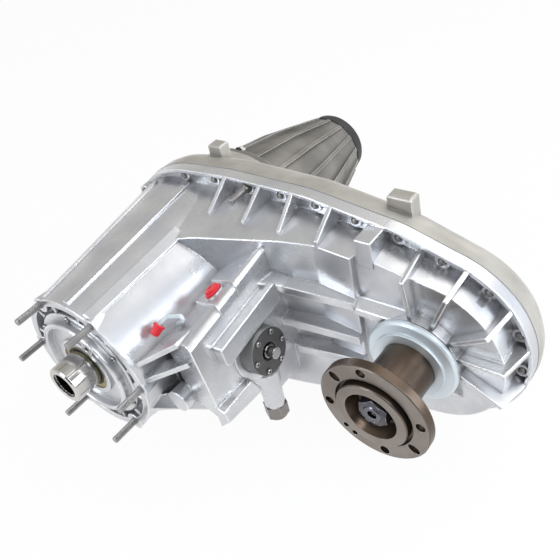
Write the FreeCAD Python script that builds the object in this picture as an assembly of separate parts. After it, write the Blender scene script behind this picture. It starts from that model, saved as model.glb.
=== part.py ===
import FreeCAD, Part
import math
import os

# Part-time four-wheel-drive transfer case. The two shafts run along Y and lie level:
# the input and the front output face -Y, the rear output leaves at +Y. X runs from the
# input axis to the front output axis, Z is up. The origin is the middle of the input
# axis on the mounting face. All lengths are millimetres.

V = FreeCAD.Vector
os.makedirs("parts", exist_ok=True)

# Clearances
run_gap = 0.05          # radial gap of a shaft in its bore
free_gap = 0.3          # gap between curved faces that move past each other
seat_gap = 0.02         # radial gap of a pressed or bolted-in piece

# Shafts
shaft_centres = 310.0
input_r = 22.5
input_front_y = -35.5
input_spline_r = 15.9
input_spline_len = 62.0
input_neck_r = 28.0
pilot_r = 12.0
main_r = 19.0
main_hub_r = 30.0
main_hub_y = (98.0, 168.0)
main_end_y = 440.0
tail_spline_r = 17.0
tail_spline_len = 70.0

# Mounting face and its studs
stud_circle_r = 82.5
stud_r = 4.0
stud_out = 32.0
stud_in = 14.0
stud_root_r = 4.4
stud_count = 6
ear_r = 8.5
low_ear_r = 11.0
ear_len = 24.0
front_rim_w = 8.0
front_pocket = 10.0
front_web_w = 3.5

# Cast barrel round the planetary gears
barrel_front_r = 87.0
barrel_taper = 0.13
barrel_lip = 3.8
case_wall = 6.0
front_wall_y = 8.0
front_wall = 12.0

# Rim where the two halves meet, an outline of circles strung along X
rim_front_y = 198.0
lip_depth = 8.0
lip_wall = 4.0
parting_y = 213.0
rim_x = (0.0, 21.0, 75.0, 165.0, 250.0, shaft_centres)
rim_r = (barrel_front_r + barrel_taper * parting_y + barrel_lip, 131.5, 135.5, 134.0, 121.0, 101.7)
bolt_inset = 9.5
bolt_r = 4.0
bolt_boss_r = 7.5
bolt_boss_out = 4.0
bolt_washer_r = 6.2
bolt_af = 10.0
top_bolt_x = (5.0, 52.0, 101.0, 144.0, 187.0, 233.0, 280.0, 324.0)
output_bolt_deg = (50.0, 18.0, -10.0, -40.0)
input_bolt_deg = (133.0, 163.0, 193.0, 223.0)
input_bolt_r = 112.0
lip_end_x = -42.0

# Wall of the chain chamber, at its front and where it meets the rim
wall_front_y = 115.0
wall_front_r = (73.0, 85.0, 94.0, 94.0, 89.0, 85.0)
wall_rear_r = (98.0, 111.0, 116.0, 115.0, 104.0, 88.0)
slope_x = 21.0
slope_y = 121.0
slope = 0.251
flat_x = 204.0
step_x = 246.0
step_depth = 6.0

# Rear half
rear_wall_y = 256.0
rear_end_shrink = (0.0, 0.0, 0.0, 0.0, 0.5, 1.0)
rear_turn = 0.9
rear_round = ((228.0, 0.0), (238.0, 2.5), (246.0, 7.0), (252.0, 13.0), (rear_wall_y, 20.0))
dome_r = 108.0
dome_end_r = 100.0
dome_end_y = 292.0
dome_wall = 12.0
lug_x = 266.0
lug_y = 231.0
lug_w = 27.0
lug_len = 16.0
lug_h = 11.0
small_lug_x = 26.0
small_lug_y = 238.0
small_lug_w = 18.0
small_lug_len = 15.0
small_lug_h = 10.0

# Extension housing
ext_flange = 9.0
ext_base_r = 86.0
ext_mid_r = 68.7
ext_mid_y = 391.0
ext_end_r = 42.5
ext_end_y = 495.0
ext_wall = 5.5
ext_ribs = 16
ext_rib_h = 5.0
ext_rib_w = 5.0
ext_bolt_r = 4.0
ext_bolt_circle_r = 93.5
ext_bolts = 6
yoke_r = 24.0
bushing_wall = 3.0
bushing_len = 24.0
tail_seal_r = 39.5
tail_seal_in = 7.0
tail_seal_out = 8.0

# Bearings: bore, outer radius and width
input_brg_r = 42.5
input_brg_w = 19.0
input_brg_y = front_wall_y
front_brg_r = 40.0
front_brg_w = 18.0
front_brg_bore_r = 20.0
tail_brg_r = 40.0
tail_brg_w = 18.0
back_brg_r = 26.0
back_brg_bore_r = 15.0
back_brg_w = 12.0

# Input bearing retainer
retainer_ring_r = 60.5
retainer_r = retainer_ring_r + 8.5
retainer_flange = 7.0
retainer_ring_wall = 6.0
retainer_ring_out = 8.0
retainer_screws = 6
input_seal_r = 31.0
input_seal_len = 7.0

# Planetary gears. All of them have the same module.
gear_module = 1.7
sun_teeth = 50
planet_teeth = 18
ring_teeth = sun_teeth + 2 * planet_teeth
planet_count = 4
gear_front_y = 47.0
gear_w = 27.0
mesh_gap = 0.15
annulus_r = 84.0
pin_r = 6.0
carrier_r = 70.0
plate_w = 8.0
plate_gap = 2.0

# Range collar, mode sleeve and their forks
collar_y = 114.0
sleeve_y = 154.0
collar_w = 20.0
collar_r = 47.0
groove_r = 39.0
groove_w = 9.0
fork_w = 8.0
fork_r = 56.0

# Chain drive
sprocket_r = 58.0
sprocket_y = 205.0
sprocket_w = 28.0
chain_t = 6.0
sprocket_hub_r = 31.0

# Pump, pickup and magnet
pump_r = 46.0
pump_w = 20.0
pickup_r = 5.0

# Front output
flange_front_y = 82.0
flange_t = 11.0
flange_r = 57.5
flange_hub_r = 28.0
flange_hole_r = 5.0
flange_hole_circle_r = 49.3
flange_hole_deg = 8.0
flange_holes = 4
pilot_recess_r = 27.0
pilot_depth = 3.0
nut_recess_r = 22.0
nut_recess_depth = 14.0
nut_af = 30.0
nut_t = 11.0
output_hub_r = 47.0
output_hub_front_y = 161.0
output_seal_r = 34.0
output_seal_w = 8.0
deflector_r = 48.6
deflector_rear_y = 158.6
deflector_step_r = 38.0
deflector_t = 3.0

# Shift box beside the barrel. It leans by this many degrees about Y.
box_tilt = 8.0
box_side_x = 161.0
box_front_y = 24.0
box_wall = 7.0
sector_y = 97.0
sector_z = -15.0
sector_r = 6.0
sector_journal_r = 7.0
sector_tip_x = 190.0
sector_plate_x = 126.0
sector_plate_w = 5.0
sector_plate_r = 26.0
cam_r = 16.0
cam_pin_r = 4.0
cam_gap = 0.8
rail_x = 104.0
rail_z = -40.0
rail_r = 7.0
rail_hub_r = 11.0
shift_retainer_r = 25.6
shift_retainer_t = 19.7
shift_bore_r = 10.5
shift_screws = 6
shift_screw_circle_r = 21.0

# Plugs, vent and long stud
drain_x = 150.0
drain_y = 112.0
drain_boss_r = 12.0
drain_bottom_z = -107.0
drain_af = 17.0
drain_head = 9.0
drain_thread_r = 7.0
fill_thread_r = 8.0
fill_x = 205.0
fill_z = -48.0
port_r = 8.0
vent_r = 2.0
long_stud_out = 27.0



def cyl(r, y0, y1, x=0.0, z=0.0):
    """Solid cylinder along Y."""
    return Part.makeCylinder(r, y1 - y0, V(x, y0, z), V(0, 1, 0))


def ring(r_out, r_in, y0, y1, x=0.0, z=0.0):
    """Tube along Y."""
    return cyl(r_out, y0, y1, x, z).cut(cyl(r_in, y0 - 1, y1 + 1, x, z))


def cone(r0, r1, y0, y1, x=0.0, z=0.0):
    """Frustum along Y."""
    return Part.makeCone(r0, r1, y1 - y0, V(x, y0, z), V(0, 1, 0))


def block(x0, x1, y0, y1, z0, z1):
    """Box from its limits."""
    return Part.makeBox(x1 - x0, y1 - y0, z1 - z0, V(x0, y0, z0))


def fuse(shapes):
    """One solid from many."""
    return shapes[0].multiFuse(shapes[1:]).removeSplitter() if len(shapes) > 1 else shapes[0]


def lathe(profile, x=0.0, z=0.0):
    """Turned piece about a line along Y, from (radius, y) corners."""
    pts = [V(r, y, 0) for r, y in profile]
    face = Part.Face(Part.makePolygon(pts + [pts[0]]))
    turned = face.revolve(V(0, 0, 0), V(0, 1, 0), 360)
    turned.translate(V(x, 0, z))
    return turned


def prism(points, y0, y1):
    """Polygon in XZ carried along Y."""
    pts = [V(x, y0, z) for x, z in points]
    return Part.Face(Part.makePolygon(pts + [pts[0]])).extrude(V(0, y1 - y0, 0))


def plan(points, z0, z1):
    """Polygon in XY carried along Z."""
    pts = [V(x, y, z0) for x, y in points]
    return Part.Face(Part.makePolygon(pts + [pts[0]])).extrude(V(0, 0, z1 - z0))


def polar(r, deg, x=0.0, z=0.0):
    """Point in XZ at a radius and an angle from X."""
    a = math.radians(deg)
    return x + r * math.cos(a), z + r * math.sin(a)


def around(shape, count, x=0.0, z=0.0, first=0.0):
    """Copies of a shape, evenly spaced about a line along Y."""
    out = []
    for i in range(count):
        copy = shape.copy()
        copy.rotate(V(x, 0, z), V(0, 1, 0), -(first + 360.0 * i / count))
        out.append(copy)
    return out


def lean(shape):
    """Turn a shape from the shift box's own axes to the part's axes."""
    shape.rotate(V(0, 0, 0), V(0, 1, 0), -box_tilt)
    return shape


def leant(x, z):
    """Place of a box point in the part's axes."""
    a = math.radians(box_tilt)
    return x * math.cos(a) - z * math.sin(a), x * math.sin(a) + z * math.cos(a)


def outline(radii, y, inset=0.0):
    """Wire of the tangent outline round circles strung along X."""
    rr = [r - inset for r in radii]
    upper = []
    normals = []
    for i in range(len(rr) - 1):
        s = (rr[i] - rr[i + 1]) / (rim_x[i + 1] - rim_x[i])
        normals.append((s, math.sqrt(1 - s * s)))
    for i, (s, c) in enumerate(normals):
        upper.append((rim_x[i] + rr[i] * s, rr[i] * c, rim_x[i + 1] + rr[i + 1] * s, rr[i + 1] * c))
    edges = []

    def arc(i, ax, az, bx, bz):
        mx = (ax + bx) / 2 - rim_x[i]
        mz = (az + bz) / 2
        k = rr[i] / math.hypot(mx, mz)
        edges.append(Part.Arc(V(ax, y, az), V(rim_x[i] + mx * k, y, mz * k), V(bx, y, bz)).toShape())

    for i, (ax, az, bx, bz) in enumerate(upper):
        edges.append(Part.LineSegment(V(ax, y, az), V(bx, y, bz)).toShape())
        if i + 1 < len(upper):
            arc(i + 1, bx, bz, upper[i + 1][0], upper[i + 1][1])
    last = len(rr) - 1
    bx, bz = upper[-1][2], upper[-1][3]
    edges.append(Part.Arc(V(bx, y, bz), V(rim_x[last] + rr[last], y, 0), V(bx, y, -bz)).toShape())
    for i in range(len(upper) - 1, -1, -1):
        ax, az, bx, bz = upper[i]
        edges.append(Part.LineSegment(V(bx, y, -bz), V(ax, y, -az)).toShape())
        if i > 0:
            arc(i, ax, -az, upper[i - 1][2], -upper[i - 1][3])
    ax, az = upper[0][0], upper[0][1]
    edges.append(Part.Arc(V(ax, y, -az), V(rim_x[0] - rr[0], y, 0), V(ax, y, az)).toShape())
    return Part.Wire(edges)


def slab(radii, y0, y1, inset=0.0):
    """Plate with the rim's kind of outline."""
    return Part.Face(outline(radii, y0, inset)).extrude(V(0, y1 - y0, 0))


def tapered(radii0, y0, radii1, y1, inset0=0.0, inset1=0.0):
    """Drafted body between two outlines."""
    return Part.makeLoft([outline(radii0, y0, inset0), outline(radii1, y1, inset1)], True, True)


def rim_z(x, inset=0.0):
    """Height of the rim's upper edge at x."""
    best = 1e9
    for k in range(1, 360):
        a = math.pi * k / 360.0
        reach = max(cx * math.cos(a) + r - inset for cx, r in zip(rim_x, rim_r))
        best = min(best, (reach - x * math.cos(a)) / math.sin(a))
    return best


def radii_at(y):
    """Chamber wall radii at a depth between its front and the rim."""
    t = (y - wall_front_y) / (parting_y - wall_front_y)
    return [a + (b - a) * t for a, b in zip(wall_front_r, wall_rear_r)]


def slope_at(x):
    """Depth of the slanted front wall."""
    return slope_y + slope * (x - slope_x)


def hexagon(across, y0, y1, x=0.0, z=0.0):
    """Hexagonal bar along Y."""
    r = across / math.sqrt(3)
    return prism([polar(r, 60 * i + 30, x, z) for i in range(6)], y0, y1)


def rounded(points, r):
    """Wire of straight runs joined by tangent arcs."""
    edges = []
    start = points[0]
    for i in range(1, len(points) - 1):
        back = (points[i - 1] - points[i]).normalize()
        on = (points[i + 1] - points[i]).normalize()
        half = back.getAngle(on) / 2
        reach = r / math.tan(half)
        a = points[i] + back * reach
        b = points[i] + on * reach
        inward = (back + on).normalize()
        middle = points[i] + inward * (r / math.sin(half) - r)
        edges.append(Part.LineSegment(start, a).toShape())
        edges.append(Part.Arc(a, middle, b).toShape())
        start = b
    edges.append(Part.LineSegment(start, points[-1]).toShape())
    return Part.Wire(edges)


def save(name, shape):
    shape.exportStep("parts/" + name + ".step")


# Places of the bolts round the rim, as (x, z)
rim_bolts = [(x, rim_z(x, bolt_inset)) for x in top_bolt_x]
rim_bolts += [polar(rim_r[-1] - bolt_inset, d, shaft_centres) for d in output_bolt_deg]
rim_bolts += [(x, -rim_z(x, bolt_inset)) for x in top_bolt_x[::-1]]
input_bolts = [polar(input_bolt_r, d) for d in input_bolt_deg]
rim_bolts += input_bolts
long_stud_at = rim_bolts[2]

flat_y = slope_at(flat_x)
end_wall_y = flat_y + step_depth
wall_slant = case_wall * math.sqrt(1 + slope * slope)


# Front case, outer form
def barrel_r(y):
    return barrel_front_r + barrel_taper * y


barrel = cone(barrel_front_r, barrel_r(rim_front_y + lip_depth), 0, rim_front_y + lip_depth)

far = 600.0
front_cut = plan([(-far, slope_at(-far)), (flat_x, flat_y), (step_x, flat_y),
                  (step_x + 2, end_wall_y), (far, end_wall_y), (far, parting_y), (-far, parting_y)],
                 -far, far)
chamber = tapered(wall_front_r, wall_front_y, wall_rear_r, parting_y).common(front_cut)
rim_plate = slab(rim_r, rim_front_y + lip_depth, parting_y)
lip = slab(rim_r, rim_front_y, parting_y - 1).cut(slab(rim_r, rim_front_y - 1, parting_y, lip_wall))
lip = lip.cut(block(-far, lip_end_x, 0, parting_y - 5, -far, far))
rim_plate = rim_plate.cut(block(-far, lip_end_x, 0, parting_y - 5, -far, far))

# Shift box: a loft between a front and a rear section, in the box's own axes
box_front = [(60, 5), (90, 15), (box_side_x, 49), (box_side_x + 2, -50), (125, -48), (60, -60)]
box_rear = [(60, 31), (96, 42), (box_side_x, 73), (box_side_x + 2, -56), (125, -58), (60, -80)]


def section(points, y):
    return Part.makePolygon([V(x, y, z) for x, z in points + points[:1]])


box_rear_y = rim_front_y - 28
box_start_y = box_front_y - 6
face_slope = 0.23
step_slope = 0.35
top_step = 2.5
nose = plan([(-far, box_front_y - face_slope * (-far - box_side_x)),
             (far, box_front_y - face_slope * (far - box_side_x)), (far, -far), (-far, -far)], -far, far)


def corner_rounded(body, x0, r):
    """Rounds the long edges of a loft that lie beyond x0."""
    edges = []
    for e in body.Edges:
        a, b = e.Vertexes[0].Point, e.Vertexes[1].Point
        if a.x > x0 and b.x > x0 and abs(a.y - b.y) > 1:
            edges.append(e)
    return body.makeFillet(r, edges)


def top_plate(rise, step_front_y):
    """Raised plate on the box's top, behind a slanted step."""
    shapes = []
    for points, y in ((box_front, box_start_y), (box_rear, box_rear_y)):
        top = [(x if x < box_side_x else x + rise * 0.3, z + rise) for x, z in points[:3]]
        shapes.append(section(top + [(top[2][0], points[2][1] - 14), (points[0][0], points[0][1] - 12)], y))
    plate = Part.makeLoft(shapes, True, True)
    edges = []
    for e in plate.Edges:
        a, b = e.Vertexes[0].Point, e.Vertexes[1].Point
        if min(a.x, b.x) > box_side_x - 1 and min(a.z, b.z) > box_front[2][1] - 1 and abs(a.y - b.y) > 1:
            edges.append(e)
    plate = plate.makeFillet(5.0, edges)
    behind = plan([(-far, step_front_y - step_slope * (-far - box_side_x)),
                   (far, step_front_y - step_slope * (far - box_side_x)), (far, far), (-far, far)], -far, far)
    return plate.common(behind)


shift_box = Part.makeLoft([section(box_front, box_start_y), section(box_rear, box_rear_y)], True, True)
shift_box = corner_rounded(shift_box, box_side_x - 4, 7.0).cut(nose)
plates = [top_plate(top_step, 73.0), top_plate(2 * top_step, 102.0)]
shift_box = lean(fuse([shift_box] + plates))

# Rounded strap on the side of the box, and the two feet below it
strap_in = box_side_x - 3


def strap(y0, y1, z0, z1, out, slant=0.0):
    body = Part.makePolygon([V(strap_in, y0, z0), V(strap_in, y1, z0 + slant),
                             V(strap_in, y1, z1 + slant), V(strap_in, y0, z1), V(strap_in, y0, z0)])
    bar = Part.Face(body).extrude(V(out + 3, 0, 0))
    ends = [e for e in bar.Edges if abs(e.Vertexes[0].Point.y - y0) < 0.01
            and abs(e.Vertexes[1].Point.y - y0) < 0.01
            and abs(e.Vertexes[0].Point.x - e.Vertexes[1].Point.x) > 1]
    return lean(bar.makeFillet(min(5.0, (z1 - z0) * 0.45), ends))


upper_strap = strap(47, box_rear_y - 30, 4.5, 26.5, 14, 13.5)
strap_out = box_side_x + 10
lower_strap = lean(Part.makeLoft([
    Part.makePolygon([V(strap_in, 22, -58), V(strap_in, 24, -30), V(strap_in, 72, -33.5), V(strap_in, 86, -62),
                      V(strap_in, 22, -58)]),
    Part.makePolygon([V(strap_out, 24, -50), V(strap_out, 23, -36), V(strap_out, 68, -33), V(strap_out, 76, -54),
                      V(strap_out, 24, -50)])], True, True))
seat_ring = lean(Part.makeCylinder(shift_retainer_r + 8, 8, V(box_side_x - 5, sector_y, sector_z), V(1, 0, 0)))

# Fins from the barrel's front rim to the front of the box
fins = []
for z_in, z_out, x_out in ((27.0, 68.0, 150.0), (4.0, 44.0, 156.0)):
    dx = x_out - barrel_front_r + 9
    ang = math.degrees(math.atan2(z_out - z_in, x_out - barrel_front_r))
    fin = Part.Face(Part.makePolygon([V(0, 3, 0), V(dx, box_front_y, 0), V(dx, box_front_y + 22, 0),
                                      V(0, 50, 0), V(0, 3, 0)])).extrude(V(0, 0, 5))
    fin.rotate(V(0, 0, 0), V(0, 1, 0), -ang)
    fin.translate(V(barrel_front_r - 9, 0, z_in - 4))
    fins.append(fin)
web = Part.makeLoft([Part.makePolygon([V(20, 2, -84), V(80, 2, -33), V(70, 2, -20), V(10, 2, -60), V(20, 2, -84)]),
                     Part.makePolygon([V(36, 60, -92), V(142, 60, -62), V(130, 60, -30), V(30, 60, -60),
                                       V(36, 60, -92)])], True, True)

# Boss of the shift rail and of the drain plug
rail_at = leant(rail_x, rail_z)
rail_boss_y = box_front_y - 4
rail_boss = cyl(13, rail_boss_y, 60, *rail_at)
drain_boss = Part.makeCylinder(drain_boss_r, 80, V(drain_x, drain_y, drain_bottom_z))
drain_collar = Part.makeCone(drain_boss_r, drain_boss_r + 3, 40, V(drain_x, drain_y, drain_bottom_z + 24))
drain_pad = block(drain_x - 9, drain_x + 9, drain_y, flat_y, -76, -40)

# Ears round the studs, and the raised bars along the barrel
ears = [cone(ear_r, ear_r - 2, 0, ear_len, *polar(stud_circle_r, 60.0 * i)) for i in range(stud_count - 1)]
ears.append(cone(low_ear_r, low_ear_r - 3, 0, ear_len, *polar(stud_circle_r, 300.0)))


def barrel_bar(deg, width, height, y0, y1):
    bar = Part.makeLoft([
        Part.makePolygon([V(barrel_r(y) - 4, y, -w / 2), V(barrel_r(y) + height, y, -w / 2 + 1),
                          V(barrel_r(y) + height, y, w / 2 - 1), V(barrel_r(y) - 4, y, w / 2),
                          V(barrel_r(y) - 4, y, -w / 2)]) for y, w in ((y0, width), (y1, width * 1.2))],
        True, True)
    bar.rotate(V(0, 0, 0), V(0, 1, 0), -deg)
    return bar


bars = [barrel_bar(85, 9, 3.0, 3, rim_front_y + 1), barrel_bar(64.5, 14, 2.5, 3, 140),
        barrel_bar(112, 5, 2.0, 3, rim_front_y), barrel_bar(205, 8, 3.0, 3, rim_front_y),
        barrel_bar(250, 8, 3.0, 3, rim_front_y)]

# Gussets between the chamber wall and the rim, and a box-shaped pad between two of them
gussets = []
gusset_w = 4.5
gusset_front_y = 167.0
for gx, lean_x in ((74.0, 5.0), (121.0, 5.0), (162.5, 0.0), (208.5, 0.0)):
    top = rim_z(gx) - 0.5
    low = rim_z(gx) - 46
    mid = max(r for r, x in zip(radii_at(gusset_front_y), rim_x)) - 12
    per_y = lean_x / (rim_front_y - gusset_front_y)
    corners = ((gusset_front_y, mid), (gusset_front_y, mid + 14), (rim_front_y, top), (parting_y - 2, top),
               (parting_y - 2, low), (gusset_front_y, mid))
    for side in (1, -1):
        edge = [V(gx - gusset_w / 2 - lean_x + per_y * (y - gusset_front_y), y, side * z) for y, z in corners]
        gussets.append(Part.Face(Part.makePolygon(edge)).extrude(V(gusset_w, 0, 0)))
pad = block(250, 268, 172, parting_y - 2, 85, rim_z(254) - 4)
pad = pad.makeFillet(5.0, [e for e in pad.Edges if e.CenterOfMass.y < 173 and e.CenterOfMass.z < 95])

# Ribs that fan out from the front output's hub, down over the edge to the rim
fan = []
fan_front_y = output_hub_front_y + 1
for deg_in, deg_out in ((92, 94), (66, 66.5), (41, 35.5), (19, 9), (-7, -18.5), (-43, -54), (-80, -84), (-112, -108)):
    ax, az = polar(output_hub_r - 6, deg_in)
    bx, bz = polar(rim_r[-1] - 1, deg_out)
    length = math.hypot(bx - ax, bz - az)
    shoulder = length - 8 if deg_in > -20 else 6.0
    rib = Part.Face(Part.makePolygon([V(0, fan_front_y, 0), V(shoulder, fan_front_y - 2, 0), V(length, rim_front_y, 0),
                                      V(length, parting_y - 2, 0), V(0, parting_y - 2, 0), V(0, fan_front_y, 0)]))
    rib = rib.extrude(V(0, 0, 4.5))
    rib.translate(V(0, 0, -2.25))
    rib.rotate(V(0, 0, 0), V(0, 1, 0), -math.degrees(math.atan2(bz - az, bx - ax)))
    rib.translate(V(shaft_centres + ax, 0, az))
    fan.append(rib)

# Three ledges across the slanted front wall
ledges = []
for lx, lz, rx, rz in ((140, 61, step_x + 1, 47), (156, 12, step_x + 1, 0), (168, -28, step_x + 1, -32)):
    y_l = slope_at(lx)
    ledge = Part.makeLoft([
        Part.makePolygon([V(lx, y_l - 13, lz), V(lx, y_l - 13, lz - 10), V(lx, y_l + 8, lz - 12),
                          V(lx, y_l + 8, lz + 2), V(lx, y_l - 13, lz)]),
        Part.makePolygon([V(rx, flat_y - 7, rz), V(rx, flat_y - 7, rz - 9), V(rx, flat_y + 8, rz - 11),
                          V(rx, flat_y + 8, rz + 2), V(rx, flat_y - 7, rz)])], True, True)
    nose_edges = [e for e in ledge.Edges if e.Vertexes[0].Point.x < lx + 0.1 and e.Vertexes[1].Point.x < lx + 0.1
                  and e.Vertexes[0].Point.y < y_l - 12 and e.Vertexes[1].Point.y < y_l - 12]
    ledges.append(ledge.makeFillet(4.0, nose_edges))

# The first ledge ends in a point on the side of the box; a short one follows behind the step
tip_y = slope_at(175) - 13
ledges.append(Part.makeLoft([
    Part.makePolygon([V(175, tip_y, 56), V(175, tip_y, 46), V(175, tip_y + 21, 44), V(175, tip_y + 21, 58),
                      V(175, tip_y, 56)]),
    Part.makePolygon([V(152, 127, 67), V(152, 127, 63), V(152, 156, 56), V(152, 156, 64), V(152, 127, 67)])],
    True, True))
ledges.append(Part.makeLoft([
    Part.makePolygon([V(x, 161, 40), V(x, 161, 32), V(x, end_wall_y + 5, 28), V(x, end_wall_y + 5, 50), V(x, 161, 40)])
    for x in (step_x - 2, 304)], True, True))

hub = cyl(output_hub_r, output_hub_front_y, parting_y - 12, shaft_centres)
bolt_seat_y = rim_front_y + lip_depth - bolt_boss_out
bosses = [cyl(bolt_boss_r, bolt_seat_y, parting_y - 1, x, z) for x, z in rim_bolts]
vent_foot = leant(104, 34)
port_at = leant(128, 50)

front_outer = fuse([barrel, chamber, rim_plate, lip, shift_box, upper_strap, lower_strap, seat_ring, web, rail_boss,
                    drain_boss, drain_collar, drain_pad, pad, hub] + fins + ears + bars + gussets + fan + ledges
                   + bosses)

# Front case, inner form
seat_end_y = 88.0
annulus_front_y = gear_front_y - 1
barrel_room = cyl(annulus_r + seat_gap, front_wall_y + front_wall, seat_end_y)
barrel_room2 = cone(annulus_r + 1.5, barrel_r(parting_y) - case_wall - 1.5, seat_end_y - 0.5, parting_y + 1)
keep = [cyl(bolt_r + 3.5, bolt_seat_y - 12, parting_y + 2, x, z) for x, z in input_bolts]
barrel_room2 = barrel_room2.cut(keep[0].multiFuse(keep[1:]))
inner_cut = plan([(-far, slope_at(-far) + wall_slant), (231, slope_at(231) + wall_slant),
                  (far, slope_at(231) + wall_slant), (far, parting_y + 1), (-far, parting_y + 1)], -far, far)
inner_room = tapered(wall_front_r, wall_front_y, wall_rear_r, parting_y + 0.5, case_wall, case_wall)
inner_room = inner_room.common(inner_cut)


def shrunk(points, wall):
    return [(x if x < box_side_x - 20 else x - wall - 2, z - wall if z > 0 else z + wall) for x, z in points]


box_room = Part.makeLoft([section(shrunk(box_front, box_wall), box_start_y + 19),
                          section(shrunk(box_rear, box_wall), box_rear_y + 30)], True, True)
box_keep = lean(block(92, 400, -100, seat_end_y + 0.5, -200, 200).fuse(
    block(20, 400, seat_end_y, 400, -200, 200)))
box_room = lean(box_room).common(box_keep)

front_case = front_outer.cut(barrel_room.fuse([barrel_room2, inner_room, box_room]))

# Bearing seat of the input, kept inside the barrel
inner_hub = ring(input_brg_r + 8, input_brg_r + seat_gap, front_wall_y + 2, input_brg_y + input_brg_w + 1)
inner_hub = inner_hub.fuse(ring(input_brg_r + 8, input_brg_r - 5, input_brg_y + input_brg_w, input_brg_y + input_brg_w + 3))

# Ring-shaped pockets behind a thin rim, between the stud bosses and some webs
pocket = ring(barrel_front_r - front_rim_w, retainer_r - 0.5, -1, front_pocket)
solid = [cyl(ear_r + 1.5, -2, front_pocket + 1, *polar(stud_circle_r, 60.0 * i)) for i in range(stud_count)]
solid += around(block(retainer_r - 5, barrel_front_r, 1.5, front_pocket + 1, -front_web_w / 2, front_web_w / 2),
                2 * stud_count, 0, 0, 15)
pocket = pocket.cut(solid[0].multiFuse(solid[1:]))
front_case = front_case.cut(pocket).cut(cyl(retainer_r + 1, -1, front_wall_y))
front_case = front_case.cut(cyl(input_brg_r + seat_gap, 0, input_brg_y + input_brg_w + 10))
front_case = front_case.fuse(inner_hub)

# Bearing and seal seat of the front output, which stands inside the chamber
front_brg_y = output_hub_front_y + output_seal_w + 1
hub_inner = ring(front_brg_r + 6, front_brg_r + seat_gap, end_wall_y, front_brg_y + front_brg_w, shaft_centres)
front_case = front_case.fuse(hub_inner)
front_case = front_case.cut(cyl(front_brg_r + seat_gap, front_brg_y, front_brg_y + front_brg_w + 4, shaft_centres))
front_case = front_case.cut(cyl(output_seal_r + seat_gap, output_hub_front_y - 1, front_brg_y + 1, shaft_centres))


# Holes for studs, bolts, rail, retainer, drain plug, red plug and vent
stud_deg = [60.0 * i for i in range(stud_count)]
stud_at = [polar(stud_circle_r, d) for d in stud_deg]
dowel_r = 4.0
dowel_at = [polar(rim_r[0] - bolt_inset, 185), polar(rim_r[-1] - bolt_inset, 4, shaft_centres)]
retainer_screw_r = 2.0
retainer_screw_circle_r = (retainer_ring_r + retainer_r) / 2 + 0.4
retainer_screw_in = 8.0
port_dir = V(-0.553, -0.165, 0.817)
port_foot = V(127, 96.5, 69) - port_dir * 4
vent_foot = V(102.5, 60, 45) - port_dir * 3
port_seat = 9.0
vent_seat = 6.0
port_boss = Part.makeCylinder(port_r + 3.5, port_seat, port_foot - port_dir * 2, port_dir)
vent_boss = Part.makeCylinder(vent_r + 3, vent_seat, vent_foot - port_dir * 2, port_dir)
front_case = front_case.fuse(port_boss).fuse(vent_boss)

sector_at = leant(box_side_x, sector_z)


def sector_axis(r, x0, x1):
    """Cylinder along the box's own X on the sector's axis."""
    return lean(Part.makeCylinder(r, x1 - x0, V(x0, sector_y, sector_z), V(1, 0, 0)))


def beside(r, x0, x1, circle, count, first=0.0):
    """Cylinders along the box's own X, spaced round the sector's axis."""
    out = []
    for i in range(count):
        a = math.radians(first + 360.0 * i / count)
        base = V(x0, sector_y + circle * math.cos(a), sector_z + circle * math.sin(a))
        out.append(lean(Part.makeCylinder(r, x1 - x0, base, V(1, 0, 0))))
    return out


shift_seat_x = box_side_x - 0.4
shift_face_x = shift_seat_x + shift_retainer_t
shift_spigot_r = shift_bore_r + 3.0
shift_spigot_in = 12.0
shift_screw_r = 1.8
shift_screw_in = 5.0
cuts = [cyl(stud_root_r + seat_gap, -1, stud_in, *at) for at in stud_at]
cuts += [cyl(bolt_r + seat_gap, rim_front_y, parting_y + 1, x, z) for x, z in rim_bolts]
cuts += [cyl(bolt_washer_r + 0.5, bolt_seat_y - 14, bolt_seat_y, x, z) for x, z in rim_bolts]
cuts += [cyl(dowel_r + seat_gap, parting_y - 6, parting_y + 1, x, z) for x, z in dowel_at]
cuts += around(cyl(retainer_screw_r + seat_gap, 0, front_wall_y + retainer_screw_in,
                   retainer_screw_circle_r, 0), retainer_screws, 0, 0, 30)
cuts.append(cyl(rail_r + seat_gap, rail_boss_y + 6, 80, *rail_at))
cuts.append(cyl(rail_r + 2, rail_boss_y + 22, parting_y + 1, *rail_at))
cuts.append(cyl(rail_hub_r + 2, 82, 176, *rail_at))
cuts.append(sector_axis(shift_spigot_r + seat_gap, box_side_x - 20, box_side_x + 20))
cuts.append(sector_axis(shift_retainer_r + seat_gap, shift_seat_x, box_side_x + 30))
cuts += beside(shift_screw_r + seat_gap, shift_seat_x - shift_screw_in, shift_face_x, shift_screw_circle_r,
               shift_screws)
cuts.append(Part.makeCylinder(drain_thread_r + seat_gap, 40, V(drain_x, drain_y, drain_bottom_z - 1)))
cuts.append(Part.makeCylinder(port_r - 2 + seat_gap, 30, port_foot - port_dir * 16, port_dir))
cuts.append(Part.makeCylinder(vent_r + 0.5 + seat_gap, 30, vent_foot - port_dir * 16, port_dir))
front_case = front_case.cut(cuts[0].multiFuse(cuts[1:]))
save("front_case", front_case)

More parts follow.
